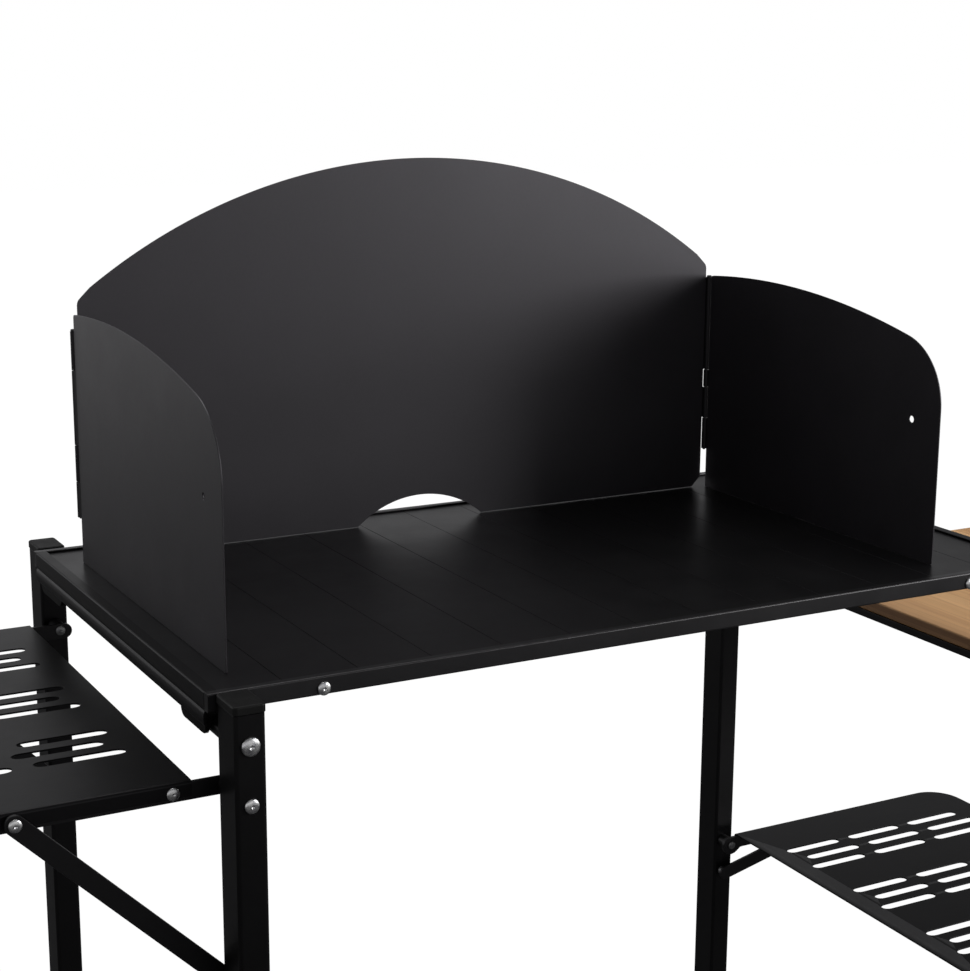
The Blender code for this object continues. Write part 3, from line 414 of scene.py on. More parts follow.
def powder_coat(name, tone=0.006, warm=0.0, rough=0.42, level=0.5, peel=0.10, coarse=900.0):
    """Satin black powder coat: near black with a faint cloudiness, fine orange
    peel and slightly uneven gloss."""
    n = Nodes(name)
    cloud = n.noise(7.0, 4.0, 0.6)
    speck = n.noise(420.0, 2.0, 0.5)
    both = n.math("ADD", n.math("MULTIPLY", cloud, 0.7), n.math("MULTIPLY", speck, 0.3))
    dark = (tone * 0.78 * (1 + warm), tone * 0.78, tone * 0.78 * (1.05 + warm))
    light = (tone * 1.25 * (1 + warm), tone * 1.25, tone * 1.25 * (1.06 + warm))
    n.link(n.ramp(both, [(0.36, dark), (0.64, light)]), n.shader.inputs["Base Color"])
    gloss = n.math("ADD", n.math("MULTIPLY", n.noise(26.0, 3.0, 0.6), 0.6), n.math("MULTIPLY", n.noise(1400.0, 1.0), 0.4))
    n.link(n.span(gloss, 0.35, 0.65, rough - 0.035, rough + 0.035), n.shader.inputs["Roughness"])
    n.shader.inputs["Specular IOR Level"].default_value = level
    n.shader.inputs["Specular Tint"].default_value = (1.0, 0.965, 1.0 + warm * 0.3, 1.0)
    fine = n.noise(coarse, 2.0, 0.5)
    wide = n.noise(coarse * 0.24, 1.0, 0.5)
    coat = n.bump(fine, peel, 0.00012)
    n.link(n.bump(wide, peel * 0.6, 0.00025, coat), n.shader.inputs["Normal"])
    return n.mat


def plastic(name, tone=0.012, rough=0.5, level=0.45, grain=1600.0):
    """Black moulded plastic with a spark-eroded grain."""
    n = Nodes(name)
    cloud = n.noise(24.0, 3.0)
    n.link(n.ramp(cloud, [(0.35, (tone * 0.8, tone * 0.8, tone * 0.78)), (0.65, (tone * 1.2, tone * 1.2, tone * 1.15))]), n.shader.inputs["Base Color"])
    cell = n.new("ShaderNodeTexVoronoi")
    cell.inputs["Scale"].default_value = grain
    n.link(n.where, cell.inputs["Vector"])
    n.link(n.span(n.noise(60.0, 2.0), 0.35, 0.65, rough - 0.05, rough + 0.05), n.shader.inputs["Roughness"])
    n.shader.inputs["Specular IOR Level"].default_value = level
    n.link(n.bump(cell.outputs["Distance"], 0.22, 0.00010), n.shader.inputs["Normal"])
    return n.mat


def zinc(name, tone=0.58, rough=0.26):
    """Bright zinc plate on a pressed head, with faint turned lines and stains."""
    n = Nodes(name)
    stain = n.noise(310.0, 4.0, 0.65)
    low = (tone * 0.62, tone * 0.62, tone * 0.66)
    high = (tone * 1.08, tone * 1.08, tone * 1.06)
    n.link(n.ramp(stain, [(0.34, low), (0.6, high)]), n.shader.inputs["Base Color"])
    n.shader.inputs["Metallic"].default_value = 1.0
    scratch = n.noise(1.0, 3.0, 0.6, n.scaled(900.0, 4200.0, 2600.0))
    n.link(n.span(n.math("ADD", n.math("MULTIPLY", stain, 0.5), n.math("MULTIPLY", scratch, 0.5)), 0.35, 0.65, rough - 0.06, rough + 0.12), n.shader.inputs["Roughness"])
    n.link(n.bump(scratch, 0.12, 0.00005), n.shader.inputs["Normal"])
    return n.mat


def bamboo(name):
    """Laminated bamboo: strips 19 mm wide along the depth of the board, each of
    its own tone, with fine fibres, darker joints between strips and the nodes
    of the cane as short brown bars."""
    n = Nodes(name)
    parts = n.new("ShaderNodeSeparateXYZ")
    n.link(n.where, parts.inputs[0])
    x, y, z = parts.outputs
    lane = n.math("DIVIDE", n.math("ADD", x, n.math("MULTIPLY", z, 0.9)), 0.019)
    index = n.math("FLOOR", lane)
    across = n.math("FRACT", lane)
    tint = n.new("ShaderNodeTexWhiteNoise", noise_dimensions="1D")
    n.link(index, tint.inputs["W"])
    base = n.ramp(tint.outputs["Value"], [(0.0, (0.54, 0.296, 0.124)), (0.5, (0.615, 0.355, 0.155)), (1.0, (0.68, 0.408, 0.188))])
    fibre = n.noise(1.0, 5.0, 0.65, n.scaled(1500.0, 16.0, 1500.0))
    streak = n.noise(1.0, 3.0, 0.6, n.scaled(210.0, 5.0, 210.0))
    grain = n.ramp(fibre, [(0.30, (0.62, 0.55, 0.46)), (0.55, (1.0, 1.0, 1.0))])
    wide = n.ramp(streak, [(0.32, (0.80, 0.74, 0.68)), (0.62, (1.04, 1.03, 1.0))])
    colour = n.mix(0.42, base, grain, "MULTIPLY")
    colour = n.mix(0.75, colour, wide, "MULTIPLY")
    # joints between the strips
    edge = n.math("MINIMUM", across, n.math("SUBTRACT", 1.0, across))
    seam = n.span(edge, 0.0, 0.028, 1.0, 0.0)
    colour = n.mix(n.math("MULTIPLY", seam, 0.45), colour, (0.24, 0.125, 0.055))
    # nodes of the cane, staggered from strip to strip
    shift = n.math("MULTIPLY", tint.outputs["Value"], 0.27)
    along = n.math("FRACT", n.math("DIVIDE", n.math("ADD", y, shift), 0.235))
    wobble = n.math("MULTIPLY", n.math("SUBTRACT", n.noise(160.0, 2.0), 0.5), 0.012)
    away = n.math("ABSOLUTE", n.math("SUBTRACT", n.math("ADD", along, wobble), 0.5))
    knot = n.span(away, 0.004, 0.013, 1.0, 0.0)
    colour = n.mix(n.math("MULTIPLY", knot, 0.40), colour, (0.30, 0.155, 0.065))
    # painted shade: the board is darkened below the top of its thickness, so its edge and underside come out darker
    # than its top face
    height = n.new("ShaderNodeSeparateXYZ")
    n.link(n.new("ShaderNodeTexCoord").outputs["Generated"], height.inputs[0])
    colour = n.mix(1.0, colour, n.ramp(height.outputs[2], [(0.84, (0.42, 0.37, 0.33)), (0.97, (1.0, 1.0, 1.0))]), "MULTIPLY")
    n.link(colour, n.shader.inputs["Base Color"])
    n.link(n.span(fibre, 0.3, 0.7, 0.42, 0.56), n.shader.inputs["Roughness"])
    n.shader.inputs["Specular IOR Level"].default_value = 0.45
    n.shader.inputs["Coat Weight"].default_value = 0.12
    n.shader.inputs["Coat Roughness"].default_value = 0.35
    first = n.bump(fibre, 0.16, 0.00012)
    n.link(n.bump(n.math("SUBTRACT", 1.0, seam), 0.25, 0.00015, first), n.shader.inputs["Normal"])
    return n.mat


def rubber(name):
    """Dull black foot with moulding texture and a little dust."""
    n = Nodes(name)
    dust = n.noise(45.0, 5.0, 0.7)
    n.link(n.ramp(dust, [(0.45, (0.010, 0.010, 0.010)), (0.75, (0.030, 0.028, 0.026))]), n.shader.inputs["Base Color"])
    n.link(n.span(dust, 0.3, 0.7, 0.62, 0.8), n.shader.inputs["Roughness"])
    n.shader.inputs["Specular IOR Level"].default_value = 0.35
    n.link(n.bump(n.noise(1900.0, 2.0), 0.2, 0.0001), n.shader.inputs["Normal"])
    return n.mat


def floor_paint_and_glow(name):
    """Pale studio floor. Seen directly it is a glow as bright as the backdrop; its own paint, which lights and mirrors
    in the stand, is a duller grey with a painted glow added that grows with distance and is stronger towards the
    front."""
    n = Nodes(name)
    n.link(n.ramp(n.noise(1.6, 3.0), [(0.3, (0.085, 0.085, 0.087)), (0.7, (0.105, 0.105, 0.107))]), n.shader.inputs["Base Color"])
    n.shader.inputs["Roughness"].default_value = 0.9
    n.shader.inputs["Specular IOR Level"].default_value = 0.1
    glow = n.new("ShaderNodeEmission")
    n.link(n.ramp(n.noise(1.1, 2.0), [(0.3, (1.01, 1.01, 1.01)), (0.7, (1.03, 1.03, 1.03))]), glow.inputs["Color"])
    # painted light: a glow added to the floor's grey paint for all rays but the camera's, growing with distance and
    # stronger towards the front
    far = n.new("ShaderNodeVectorMath", operation="LENGTH")
    n.link(n.where, far.inputs[0])
    sweep = n.new("ShaderNodeEmission")
    reach = n.ramp(n.span(far.outputs["Value"], 2.0, 12.0), [(0.0, 0.0), (0.14, 0.0), (0.35, 0.40), (0.7, 0.66), (1.0, 0.72)])
    sides = n.new("ShaderNodeSeparateXYZ")
    n.link(n.where, sides.inputs[0])
    front = n.ramp(n.span(sides.outputs[1], -5.0, 5.0), [(0.0, (1.0, 1.0, 1.0)), (0.4, (0.95, 0.95, 0.95)), (0.7, (0.52, 0.52, 0.52)), (1.0, (0.48, 0.48, 0.48))])
    n.link(n.mix(1.0, reach, front, "MULTIPLY"), sweep.inputs["Color"])
    sweep.inputs["Strength"].default_value = 1.3
    grey_plus_glow = n.new("ShaderNodeAddShader")
    n.link(n.shader.outputs[0], grey_plus_glow.inputs[0])
    n.link(sweep.outputs[0], grey_plus_glow.inputs[1])
    glow.inputs["Strength"].default_value = 1.0
    both = n.new("ShaderNodeMixShader")
    n.link(n.new("ShaderNodeLightPath").outputs["Is Camera Ray"], both.inputs[0])
    n.link(grey_plus_glow.outputs[0], both.inputs[1])
    n.link(glow.outputs[0], both.inputs[2])
    n.link(both.outputs[0], n.tree.nodes["Material Output"].inputs["Surface"])
    return n.mat


M_TOP = powder_coat("coat_slats", 0.0027, 0.03, 0.33, 0.23, 0.08)
M_RAIL = powder_coat("coat_rails", 0.0040, 0.0, 0.32, 0.46, 0.10)
# painted shade: the end rails get a darker, less glossy copy of the rail coat
M_END_SHADED = powder_coat("coat_end_rails_shaded", 0.0030, 0.0, 0.38, 0.15, 0.10)
M_SCREEN = powder_coat("coat_windscreen", 0.0082, 0.10, 0.40, 0.49, 0.10)
M_KNUCKLE = powder_coat("coat_knuckles", 0.0048, 0.05, 0.44, 0.18, 0.10)
M_SHELF = powder_coat("coat_shelves", 0.0026, 0.03, 0.33, 0.15, 0.09)
M_LEG = powder_coat("coat_legs", 0.0021, 0.0, 0.33, 0.19, 0.10)
M_ARM = powder_coat("coat_arms", 0.0030, 0.0, 0.36, 0.26, 0.10)
M_BRACE = powder_coat("coat_brace", 0.0045, 0.0, 0.42, 0.36, 0.10)
M_PIN = powder_coat("coat_pins", 0.005, 0.0, 0.36, 0.45, 0.06)
M_CAP = plastic("moulded_caps", 0.0030, 0.5, 0.14)
M_HOOK = plastic("moulded_hooks", 0.0020, 0.46, 0.08)
M_SLEEVE = plastic("moulded_sleeves", 0.009, 0.5, 0.36)
M_FOOT = rubber("moulded_feet")
M_ZINC = zinc("zinc_bolts", 0.60, 0.26)
M_DULL = zinc("zinc_dull", 0.22, 0.38)
M_BAMBOO = bamboo("laminated_bamboo")


# ---- fasteners ----------------------------------------------------------
def pan_profile(r, h, dimple=0.95, deep=0.55):
    """Low pan head with a small sunk centre, from the axis out to its rim."""
    points = [(0.0, h - deep), (dimple * 0.55, h - deep * 0.96), (dimple * 0.9, h - deep * 0.45), (dimple * 1.15, h - 0.03)]
    start = math.asin(min(0.95, dimple * 1.3 / r))
    for i in range(9):
        a = start + (math.pi / 2 - start) * i / 8
        points.append((r * math.sin(a), 0.32 * h + 0.68 * h * math.cos(a) ** 0.85))
    points += [(r, 0.22 * h), (r * 0.985, 0.0)]
    return points


def head(name, node, axis, cu, cv, base, way, r, h, mat=None, dimple=0.95):
    s = Shape()
    lathe(s, axis, cu, cv, base, way, pan_profile(r, h, dimple), 36)
    return make(name, s, mat or M_ZINC, node, replace=False, angle=50)


def pin(name, node, axis, cu, cv, low, high, r, mat, n=24):
    s = Shape()
    lathe(s, axis, cu, cv, low, 1.0, [(0, 0), (r - 0.3, 0), (r, 0.3), (r, high - low - 0.3), (r - 0.3, high - low), (0, high - low)], n)
    return make(name, s, mat, node, replace=False, angle=50)


# ---- leg frames ---------------------------------------------------------
def mirror_x(x, right):
    return TOP_W - x if right else x


for side, right in (("left", False), ("right", True)):
    for end, rear in (("front", False), ("rear", True)):
        node = f"leg_{end}_{side}"
        x0 = TOP_W - LEG_INSET - LEG_W if right else LEG_INSET
        x1 = x0 + LEG_W
        y0, y1 = REAR_LEG if rear else FRONT_LEG
        bottom, top = -800.0 + 12.3, -4.8
        s = Shape()
        stack(s, "z", rounded(x0, y0, x1, y1, 2.5, 6), [(bottom, 0.15), (bottom + 0.15, 0.0), (top - 0.15, 0.0), (top, 0.15)], [rounded(x0 + 1.5, y0 + 1.5, x1 - 1.5, y1 - 1.5, 1.2, 4)])
        make(f"leg_tube_{end}_{side}", s, M_LEG, node)

        s = Shape()
        c, z = CAP_OUT, CAP_TOP
        stack(s, "z", rounded(x0 - c, y0 - c, x1 + c, y1 + c, 2.8, 6), [(-4.5, 0.25), (-4.3, 0.0), (z - 1.2, 0.0), (z - 0.75, 0.12), (z - 0.35, 0.45), (z - 0.1, 0.95), (z, 1.6)])
        plate(s, "z", rounded(x0 + 1.8, y0 + 1.8, x1 - 1.8, y1 - 1.8, 0.8, 3), -15.8, -4.4, 0.4)
        for k in range(3):
            plate(s, "z", rounded(x0 + 1.62, y0 + 1.62, x1 - 1.62, y1 - 1.62, 0.9, 3), -14.0 + 3.4 * k, -13.0 + 3.4 * k, 0.3)
        make(f"leg_cap_{end}_{side}", s, M_CAP, f"cap_{end}_{side}")

        s = Shape()
        stack(
            s, "z", rounded(x0 - 1.5, y0 - 1.5, x1 + 1.5, y1 + 1.5, 3.5, 6),
            [(-799.0, 1.2), (-798.6, 0.5), (-797.9, 0.1), (-797.2, 0.0), (-794.6, 0.0), (-794.3, 0.35), (-793.7, 0.35), (-793.4, 0.0), (-789.2, 0.0), (-788.5, 0.15), (-788.1, 0.6), (-788.0, 1.2)],
        )
        plate(s, "z", rounded(x0, y0, x1, y1, 3.0, 4), -800.0, -798.9, 0.4)
        plate(s, "z", rounded(x0 + 1.8, y0 + 1.8, x1 - 1.8, y1 - 1.8, 0.8, 3), -788.1, -780.0, 0.5)
        make(f"leg_foot_{end}_{side}", s, M_FOOT, f"foot_{end}_{side}")

    cx = mirror_x(POST_X, right)
    for level, z in (("top", TOP_TUBE_Z), ("bottom", BOTTOM_TUBE_Z)):
        s = Shape()
        lo, hi = FRONT_LEG[1] + GAP, REAR_LEG[0] - GAP
        stack(s, "y", circle(cx, z, 8.0, 48), [(lo, 0.3), (lo + 0.3, 0.0), (hi - 0.3, 0.0), (hi, 0.3)], [circle(cx, z, 6.6, 48)])
        make(f"cross_tube_{level}_{side}", s, M_LEG, f"{level}_tube_{side}")
        for end, base, way in (("front", FRONT_LEG[0] - GAP, -1.0), ("rear", REAR_LEG[1] + GAP, 1.0)):
            node = f"tube_bolt_{end}_{side}" if level == "top" else f"bottom_tube_{side}"
            s = Shape()
            lathe(s, "y", cx, z, base, way, pan_profile(5.7, 2.6, 1.35, 0.9), 40)
            lo, hi = sorted((base + way * 0.4, base - way * 34.0))
            lathe(s, "y", cx, z, lo, 1.0, [(0, 0), (3.2, 0), (3.4, 0.3), (3.4, hi - lo), (0, hi - lo)], 20)
            made = make(f"{level}_bolt_{end}_{side}", s, M_ZINC, node, replace=(level == "top"), angle=50)
            # a thin black ring under each bolt head, wider than the head, shows as a dark outline round it
            s = Shape()
            stack(s, "y", circle(cx, z, 6.3, 36), [(min(base, base - way * 0.25), 0.1), (max(base, base - way * 0.25), 0.0)], [circle(cx, z, 3.6, 36)])
            make(f"{level}_washer_{end}_{side}", s, M_CAP, node, replace=False)


# ---- table top ----------------------------------------------------------
def channel(face, way):
    """C section of the front and rear rails with rolled outer corners."""
    r, lip = 1.1, RAIL_LIP
    outer = arc(r, -r, r, 180, 90, 5) + [(lip - 0.4, 0.0), (lip - 0.1, -0.12), (lip, -0.45), (lip, -RAIL_T + 0.3), (lip - 0.3, -RAIL_T)]
    outer += arc(1.6 + 0.6, -RAIL_T - 0.6, 0.6, 90, 180, 3)
    outer += arc(1.6 + 0.6, -RAIL_H + RAIL_T + 0.6, 0.6, 180, 270, 3)
    outer += [(lip - 0.3, -RAIL_H + RAIL_T), (lip, -RAIL_H + RAIL_T - 0.3), (lip, -RAIL_H + 0.4), (lip - 0.4, -RAIL_H)]
    outer += arc(r, -RAIL_H + r, r, 270, 180, 5)
    return [(face + way * u, v) for u, v in outer]


for end, face, way in (("front", 0.0, 1.0), ("rear", TOP_D, -1.0)):
    s = Shape()
    plate(s, "x", channel(face, way), 0.0, TOP_W, 0.25, 2)
    make(f"{end}_rail_channel", s, M_RAIL, f"{end}_rail")
    for side, x in (("left", 0.12), ("right", TOP_W - 1.12)):
        s = Shape()
        lo, hi = sorted((face + way * 0.35, face + way * (RAIL_LIP + 0.1)))
        plate(s, "x", rounded(lo, -RAIL_H + 0.25, hi, -0.25, 0.8, 4), x, x + 1.0, 0.2, 2)
        make(f"{end}_rail_plug_{side}", s, M_RAIL, f"{end}_rail", replace=False)


def side_section(face, way):
    """End rail: a flat upper band, a pressed crease and a soft roll below."""
    crease = -SIDE_H * 0.54
    path = arc(1.2, -1.2, 1.2, 90, 180, 5)
    path += curve([(0.0, -6.0), (0.0, crease + 1.5), (0.42, crease + 0.35), (0.42, crease - 0.35), (-0.25, crease - 1.6), (-0.58, -15.4), (-0.6, -17.2), (-0.3, -SIDE_H + 1.6), (0.35, -SIDE_H + 0.3), (1.0, -SIDE_H), (1.65, -SIDE_H + 0.35), (1.35, -SIDE_H + 1.9), (1.0, -17.0), (1.05, -15.4), (1.4, crease - 1.6), (1.8, crease - 0.3)], 4)
    path += [(SIDE_T, -RAIL_T - 0.6), (SIDE_T + 0.6, -RAIL_T), (SIDE_LIP - 0.3, -RAIL_T), (SIDE_LIP, -RAIL_T + 0.3), (SIDE_LIP, -0.4), (SIDE_LIP - 0.35, 0.0)]
    return [(face + way * u, v) for u, v in path]


for side, face, way in (("left", 0.0, 1.0), ("right", TOP_W, -1.0)):
    s = Shape()
    plate(s, "y", side_section(face, way), RAIL_LIP + GAP, TOP_D - RAIL_LIP - GAP, 0.2, 2)
    make(f"{side}_end_rail", s, M_END_SHADED, f"{side}_rail")

RIVET_X = (72.0, TOP_W - 72.0)
for end, face, way in (("front", 0.0, -1.0), ("rear", TOP_D, 1.0)):
    for side, x in zip(("left", "right"), RIVET_X):
        node = f"rail_rivet_{end}_{side}"
        s = Shape()
        base = face + way * GAP
        lathe(s, "y", x, -RAIL_H / 2 - 1.7, base, way, pan_profile(4.2, 1.7, 0.9, 0.5), 36)
        lo, hi = sorted((base + way * 0.3, face - way * 2.2))
        lathe(s, "y", x, -RAIL_H / 2 - 1.7, lo, 1.0, [(0, 0), (1.9, 0), (2.0, 0.2), (2.0, hi - lo), (0, hi - lo)], 20)
        made = make(f"rivet_{end}_{side}", s, M_ZINC, node, angle=50)


def slat_profile(x0, x1):
    """One slat seen from the front: a flat strip with its two edges turned
    down, 1 mm sheet."""
    top, deep, t, r = SLAT_TOP, 7.5, 1.0, 0.22
    out = [(x0, top - deep + 0.2)] + arc(x0 + r, top - r, r, 180, 90, 4)
    n = 8
    for i in range(1, n):
        u = i / n
        out.append((x0 + r + (x1 - x0 - 2 * r) * u, top - 0.05 * math.sin(math.pi * u)))
    out += arc(x1 - r, top - r, r, 90, 0, 4) + [(x1, top - deep + 0.2), (x1 - 0.2, top - deep), (x1 - t + 0.2, top - deep), (x1 - t, top - deep + 0.2)]
    out += [(x1 - t, top - t - 0.3), (x1 - t - 0.3, top - t), (x0 + t + 0.3, top - t), (x0 + t, top - t - 0.3), (x0 + t, top - deep + 0.2), (x0 + t - 0.2, top - deep), (x0 + 0.2, top - deep)]
    return out


for k in range(SLATS):
    x0 = SIDE_T + GAP if k == 0 else SLAT_PITCH * k + 0.12
    x1 = TOP_W - SIDE_T - GAP if k == SLATS - 1 else SLAT_PITCH * (k + 1) - 0.12
    s = Shape()
    loop = slat_profile(x0, x1)
    stations = [(1.9, -0.35, 0.0), (5.3, -0.35, 0.0), (6.5, 0.0, 0.0), (TOP_D - 6.5, 0.0, 0.0), (TOP_D - 5.3, -0.35, 0.0), (TOP_D - 1.9, -0.35, 0.0)]
    rings = [[(u, y, v + dz) for u, v in loop] for y, dz, _ in stations]
    for a, b in zip(rings, rings[1:]):
        s.strip(a, b)
    s.face(rings[0])
    s.face(rings[-1])
    make(f"slat_{k + 1:02d}", s, M_TOP, "slat_deck")

for k, y in enumerate((98.0, 262.0)):
    s = Shape()
    plate(s, "x", [(y - 10, -10.1), (y + 10, -10.1), (y + 10, -9.15), (y - 10, -9.15)], 9.0, TOP_W - 9.0, 0.2)
    make(f"slat_strap_{k + 1}", s, M_TOP, "slat_deck", replace=False)
    for j in range(SLATS):
        s = Shape()
        lathe(s, "z", SLAT_PITCH * (j + 0.5), y, -10.1, -1.0, pan_profile(2.6, 0.9, 0.6, 0.3), 20)
        lathe(s, "z", SLAT_PITCH * (j + 0.5), y, -10.0, 1.0, [(0, 0), (1.4, 0), (1.4, 7.6), (0, 7.6)], 12)
        make(f"strap_rivet_{k + 1}_{j + 1:02d}", s, M_DULL, "slat_deck", replace=False, angle=50)

# thin strips under the seams, from strap to strap
s = Shape()
for k in range(1, SLATS):
    for y0, y1 in ((7.0, 87.9), (108.1, 251.9), (272.1, TOP_D - 7.0)):
        x = SLAT_PITCH * k
        plate(s, "z", [(x - 2.2, y0), (x + 2.2, y0), (x + 2.2, y1), (x - 2.2, y1)], -9.65, -9.05, 0.15, 1)
make("seam_strips", s, M_TOP, "slat_deck", replace=False)


# ---- corner hooks -------------------------------------------------------
def corner_hook(end, side):
    right, rear = side == "right", end == "rear"
    cx = mirror_x(POST_X, right)
    way = -1.0 if right else 1.0
    top, low, r_in = -RAIL_H - GAP, -29.0, 8.35
    outer = SIDE_T + 0.5 - POST_X
    y0, y1 = (300.0, 352.0) if rear else (11.0, 53.0)
    stations = []
    r = 8.0 if rear else 6.0
    for t in (0.0, 0.02, 0.06, 0.13, 0.23, 0.36, 0.52, 0.72, 1.0):
        d = r * t
        stations.append((y0 + d, r - math.sqrt(max(0.0, r * r - (r - d) ** 2))))
    for t in (1.0, 0.72, 0.52, 0.36, 0.23, 0.13, 0.06, 0.02, 0.0):
        d = r * t
        stations.append((y1 - d, r - math.sqrt(max(0.0, r * r - (r - d) ** 2))))
    s = Shape()
    rings = []
    for y, lift in stations:
        floor_z = low + lift * 0.995
        edge = 0.35 if y in (stations[0][0], stations[-1][0]) else 0.0
        loop = [(outer + edge, floor_z + 0.6), (outer + edge, top - 0.9), (outer + 0.9, top - edge), (9.4, top - edge), (10.0 - edge, top - 0.6), (10.0 - edge, TOP_TUBE_Z + r_in + 0.5), (9.6, TOP_TUBE_Z + r_in)]
        loop += [(r_in * math.cos(math.radians(90 + 9 * i)), TOP_TUBE_Z + r_in * math.sin(math.radians(90 + 9 * i))) for i in range(11)]
        loop = [(u, max(v, floor_z + 0.4)) for u, v in loop]
        loop += [(-r_in - 0.4, floor_z), (outer + 0.7, floor_z)]
        rings.append([(cx + way * u, y, v) for u, v in loop])
    for a, b in zip(rings, rings[1:]):
        s.strip(a, b)
    s.face(rings[0])
    s.face(rings[-1])
    make(f"hook_{end}_{side}", s, M_HOOK, f"corner_hook_{end}_{side}")


for end in ("front", "rear"):
    for side in ("left", "right"):
        corner_hook(end, side)


# ---- windscreen ---------------------------------------------------------
FOOT = SLAT_TOP + GAP


def back_outline():
    x0, x1 = PIN_X[0] + EDGE_BACK[0], PIN_X[1] - EDGE_BACK[1]
    mid, half = (x0 + x1) / 2, (x1 - x0) / 2
    rise = 278.0 - 187.0
    r = (half * half + rise * rise) / (2 * rise)
    lean = math.degrees(math.asin(half / r))
    c = 8.0
    points = [(x0, FOOT + c + 0.8), (x0 + 0.25, FOOT + c), (x0 + c, FOOT + 0.25), (x0 + c + 0.8, FOOT)]
    nh, nv = 53.5, 20.0
    nr = (nh * nh + nv * nv) / (2 * nv)
    spread = math.degrees(math.asin(nh / nr))
    points += arc(mid + 2.0, FOOT + nv - nr, nr, 90 + spread, 90 - spread, 40)
    points += [(x1 - c - 0.8, FOOT), (x1 - c, FOOT + 0.25), (x1 - 0.25, FOOT + c), (x1, FOOT + c + 0.8)]
    top = arc(mid, 278.0 - r, r, 90 - lean, 90 + lean, 96)
    soft = 5.0
    right = [(x1, top[0][1] - soft), (x1 - 0.25, top[0][1] - soft * 0.62), (x1 - 0.95, top[0][1] - 1.4), (x1 - 2.4, top[0][1] + 0.2)]
    left = [(x0 + 2.4, top[-1][1] + 0.2), (x0 + 0.95, top[-1][1] - 1.4), (x0 + 0.25, top[-1][1] - soft * 0.62), (x0, top[-1][1] - soft)]
    return points + right + [p for p in top if x0 + soft < p[0] < x1 - soft] + left


def side_outline(right):
    crest_y, crest_z, big = 245.0, 180.0, 753.0
    rear = PIN_Y - EDGE_SIDE[1 if right else 0]
    r = 50.0
    cy = 33.5 + r
    cz = crest_z - big + math.sqrt((big - r) ** 2 - (crest_y - cy) ** 2)
    meet = math.degrees(math.atan2(cz - (crest_z - big), cy - crest_y))
    low = SLAT_TOP + 0.04
    points = [(rear, low + 0.6), (rear - 0.6, low), (33.5 + 1.5, low), (33.9, low + 0.4), (33.5, low + 1.5)]
    points += arc(cy, cz, r, 180, meet, 36)
    end = math.degrees(math.acos((rear - 3.0 - crest_y) / big))
    points += arc(crest_y, crest_z - big, big, meet, end, 40)[1:]
    z = points[-1][1]
    points += [(rear - 0.9, z - 0.5), (rear - 0.2, z - 1.4), (rear, z - 3.0)]
    return points




def spans(right):
    """Heights of the back panel's two knuckles and of the side panel's two."""
    low, high = HINGE_LAST[1 if right else 0]
    return ((HINGE_Z[1] + GAP, HINGE_Z[2] - GAP), (low + GAP, high)), ((HINGE_Z[0], HINGE_Z[1] - GAP), (HINGE_Z[2] + GAP, low - GAP))


def rolled(start, jog, end, centre, r, first, turn):
    """Centre line of a tab: from start through a jog to end, then round the pin
    from the angle first through turn degrees."""
    path = curve([start, jog, end], 5)
    steps = 26
    path += [(centre[0] + r * math.cos(math.radians(first + turn * i / steps)), centre[1] + r * math.sin(math.radians(first + turn * i / steps))) for i in range(1, steps + 1)]
    return path


for side, px, way in (("left", PIN_X[0], 1.0), ("right", PIN_X[1], -1.0)):
    # the back panel's loops, rolled round the pin from behind
    path = rolled((px + way * 5.4, PIN_Y + 0.9), (px + way * 2.6, PIN_Y + 1.25), (px, PIN_Y + 1.88), (px, PIN_Y), 1.88, 90.0, way * 318.0)
    top_z = HINGE_LAST[1 if side == "right" else 0][1]
    for i, (low, high) in enumerate(spans(side == "right")[0]):
        s = Shape()
        plate(s, "z", ribbon(path, 1.0), low, high, 0.18, 2)
        make(f"back_knuckle_{side}_{i + 1}", s, M_KNUCKLE, "screen_back", replace=False)
    # the side panel's own loops, rolled round it from outside
    face_x = px + (0.5 if side == "right" else -0.5)
    out = 1.0 if side == "right" else -1.0
    path = rolled((face_x, PIN_Y - 5.2), (face_x + out * 0.45, PIN_Y - 2.6), (px + out * 1.88, PIN_Y), (px, PIN_Y), 1.88, 0.0 if out > 0 else 180.0, out * 318.0)
    s = Shape()
    plate(s, "x", side_outline(side == "right"), face_x - 0.5, face_x + 0.5, 0.22, 2, holes=[circle(63.5, 100.0, 2.5, 28)])
    made = make(f"panel_{side}", s, M_SCREEN, f"screen_{side}")
    for i, (low, high) in enumerate(spans(side == "right")[1]):
        s = Shape()
        plate(s, "z", ribbon(path, 1.0), low, high, 0.18, 2)
        make(f"side_knuckle_{side}_{i + 1}", s, M_KNUCKLE, f"screen_{side}", replace=False)
    s = Shape()
    z0, z1 = HINGE_Z[0] - 1.0, top_z
    lathe(s, "z", px, PIN_Y, z0, 1.0, [(0, 0), (0.8, 0), (1.15, 0.4), (1.15, z1 - z0 + 0.3), (2.0, z1 - z0 + 0.3), (2.2, z1 - z0 + 0.6), (2.0, z1 - z0 + 1.1), (1.1, z1 - z0 + 1.45), (0, z1 - z0 + 1.5)], 24)
    make(f"pin_{side}", s, M_PIN, f"hinge_pin_{side}", angle=50)

s = Shape()
plate(s, "y", back_outline(), PIN_Y + 0.4, PIN_Y + 1.4, 0.22, 2)
make("panel_back", s, M_SCREEN, "screen_back")


# ---- slotted shelves ----------------------------------------------------
def slot_outline(x0, x1, y):
    r = 4.4
    loop = []
    for cx, start in ((x1 - r * 1.4, -90.0), (x0 + r * 1.4, 90.0)):
        for i in range(9):
            a = math.radians(start + 180.0 * i / 8)
            loop.append((cx + 1.4 * r * math.cos(a), y + r * math.sin(a)))
    return loop


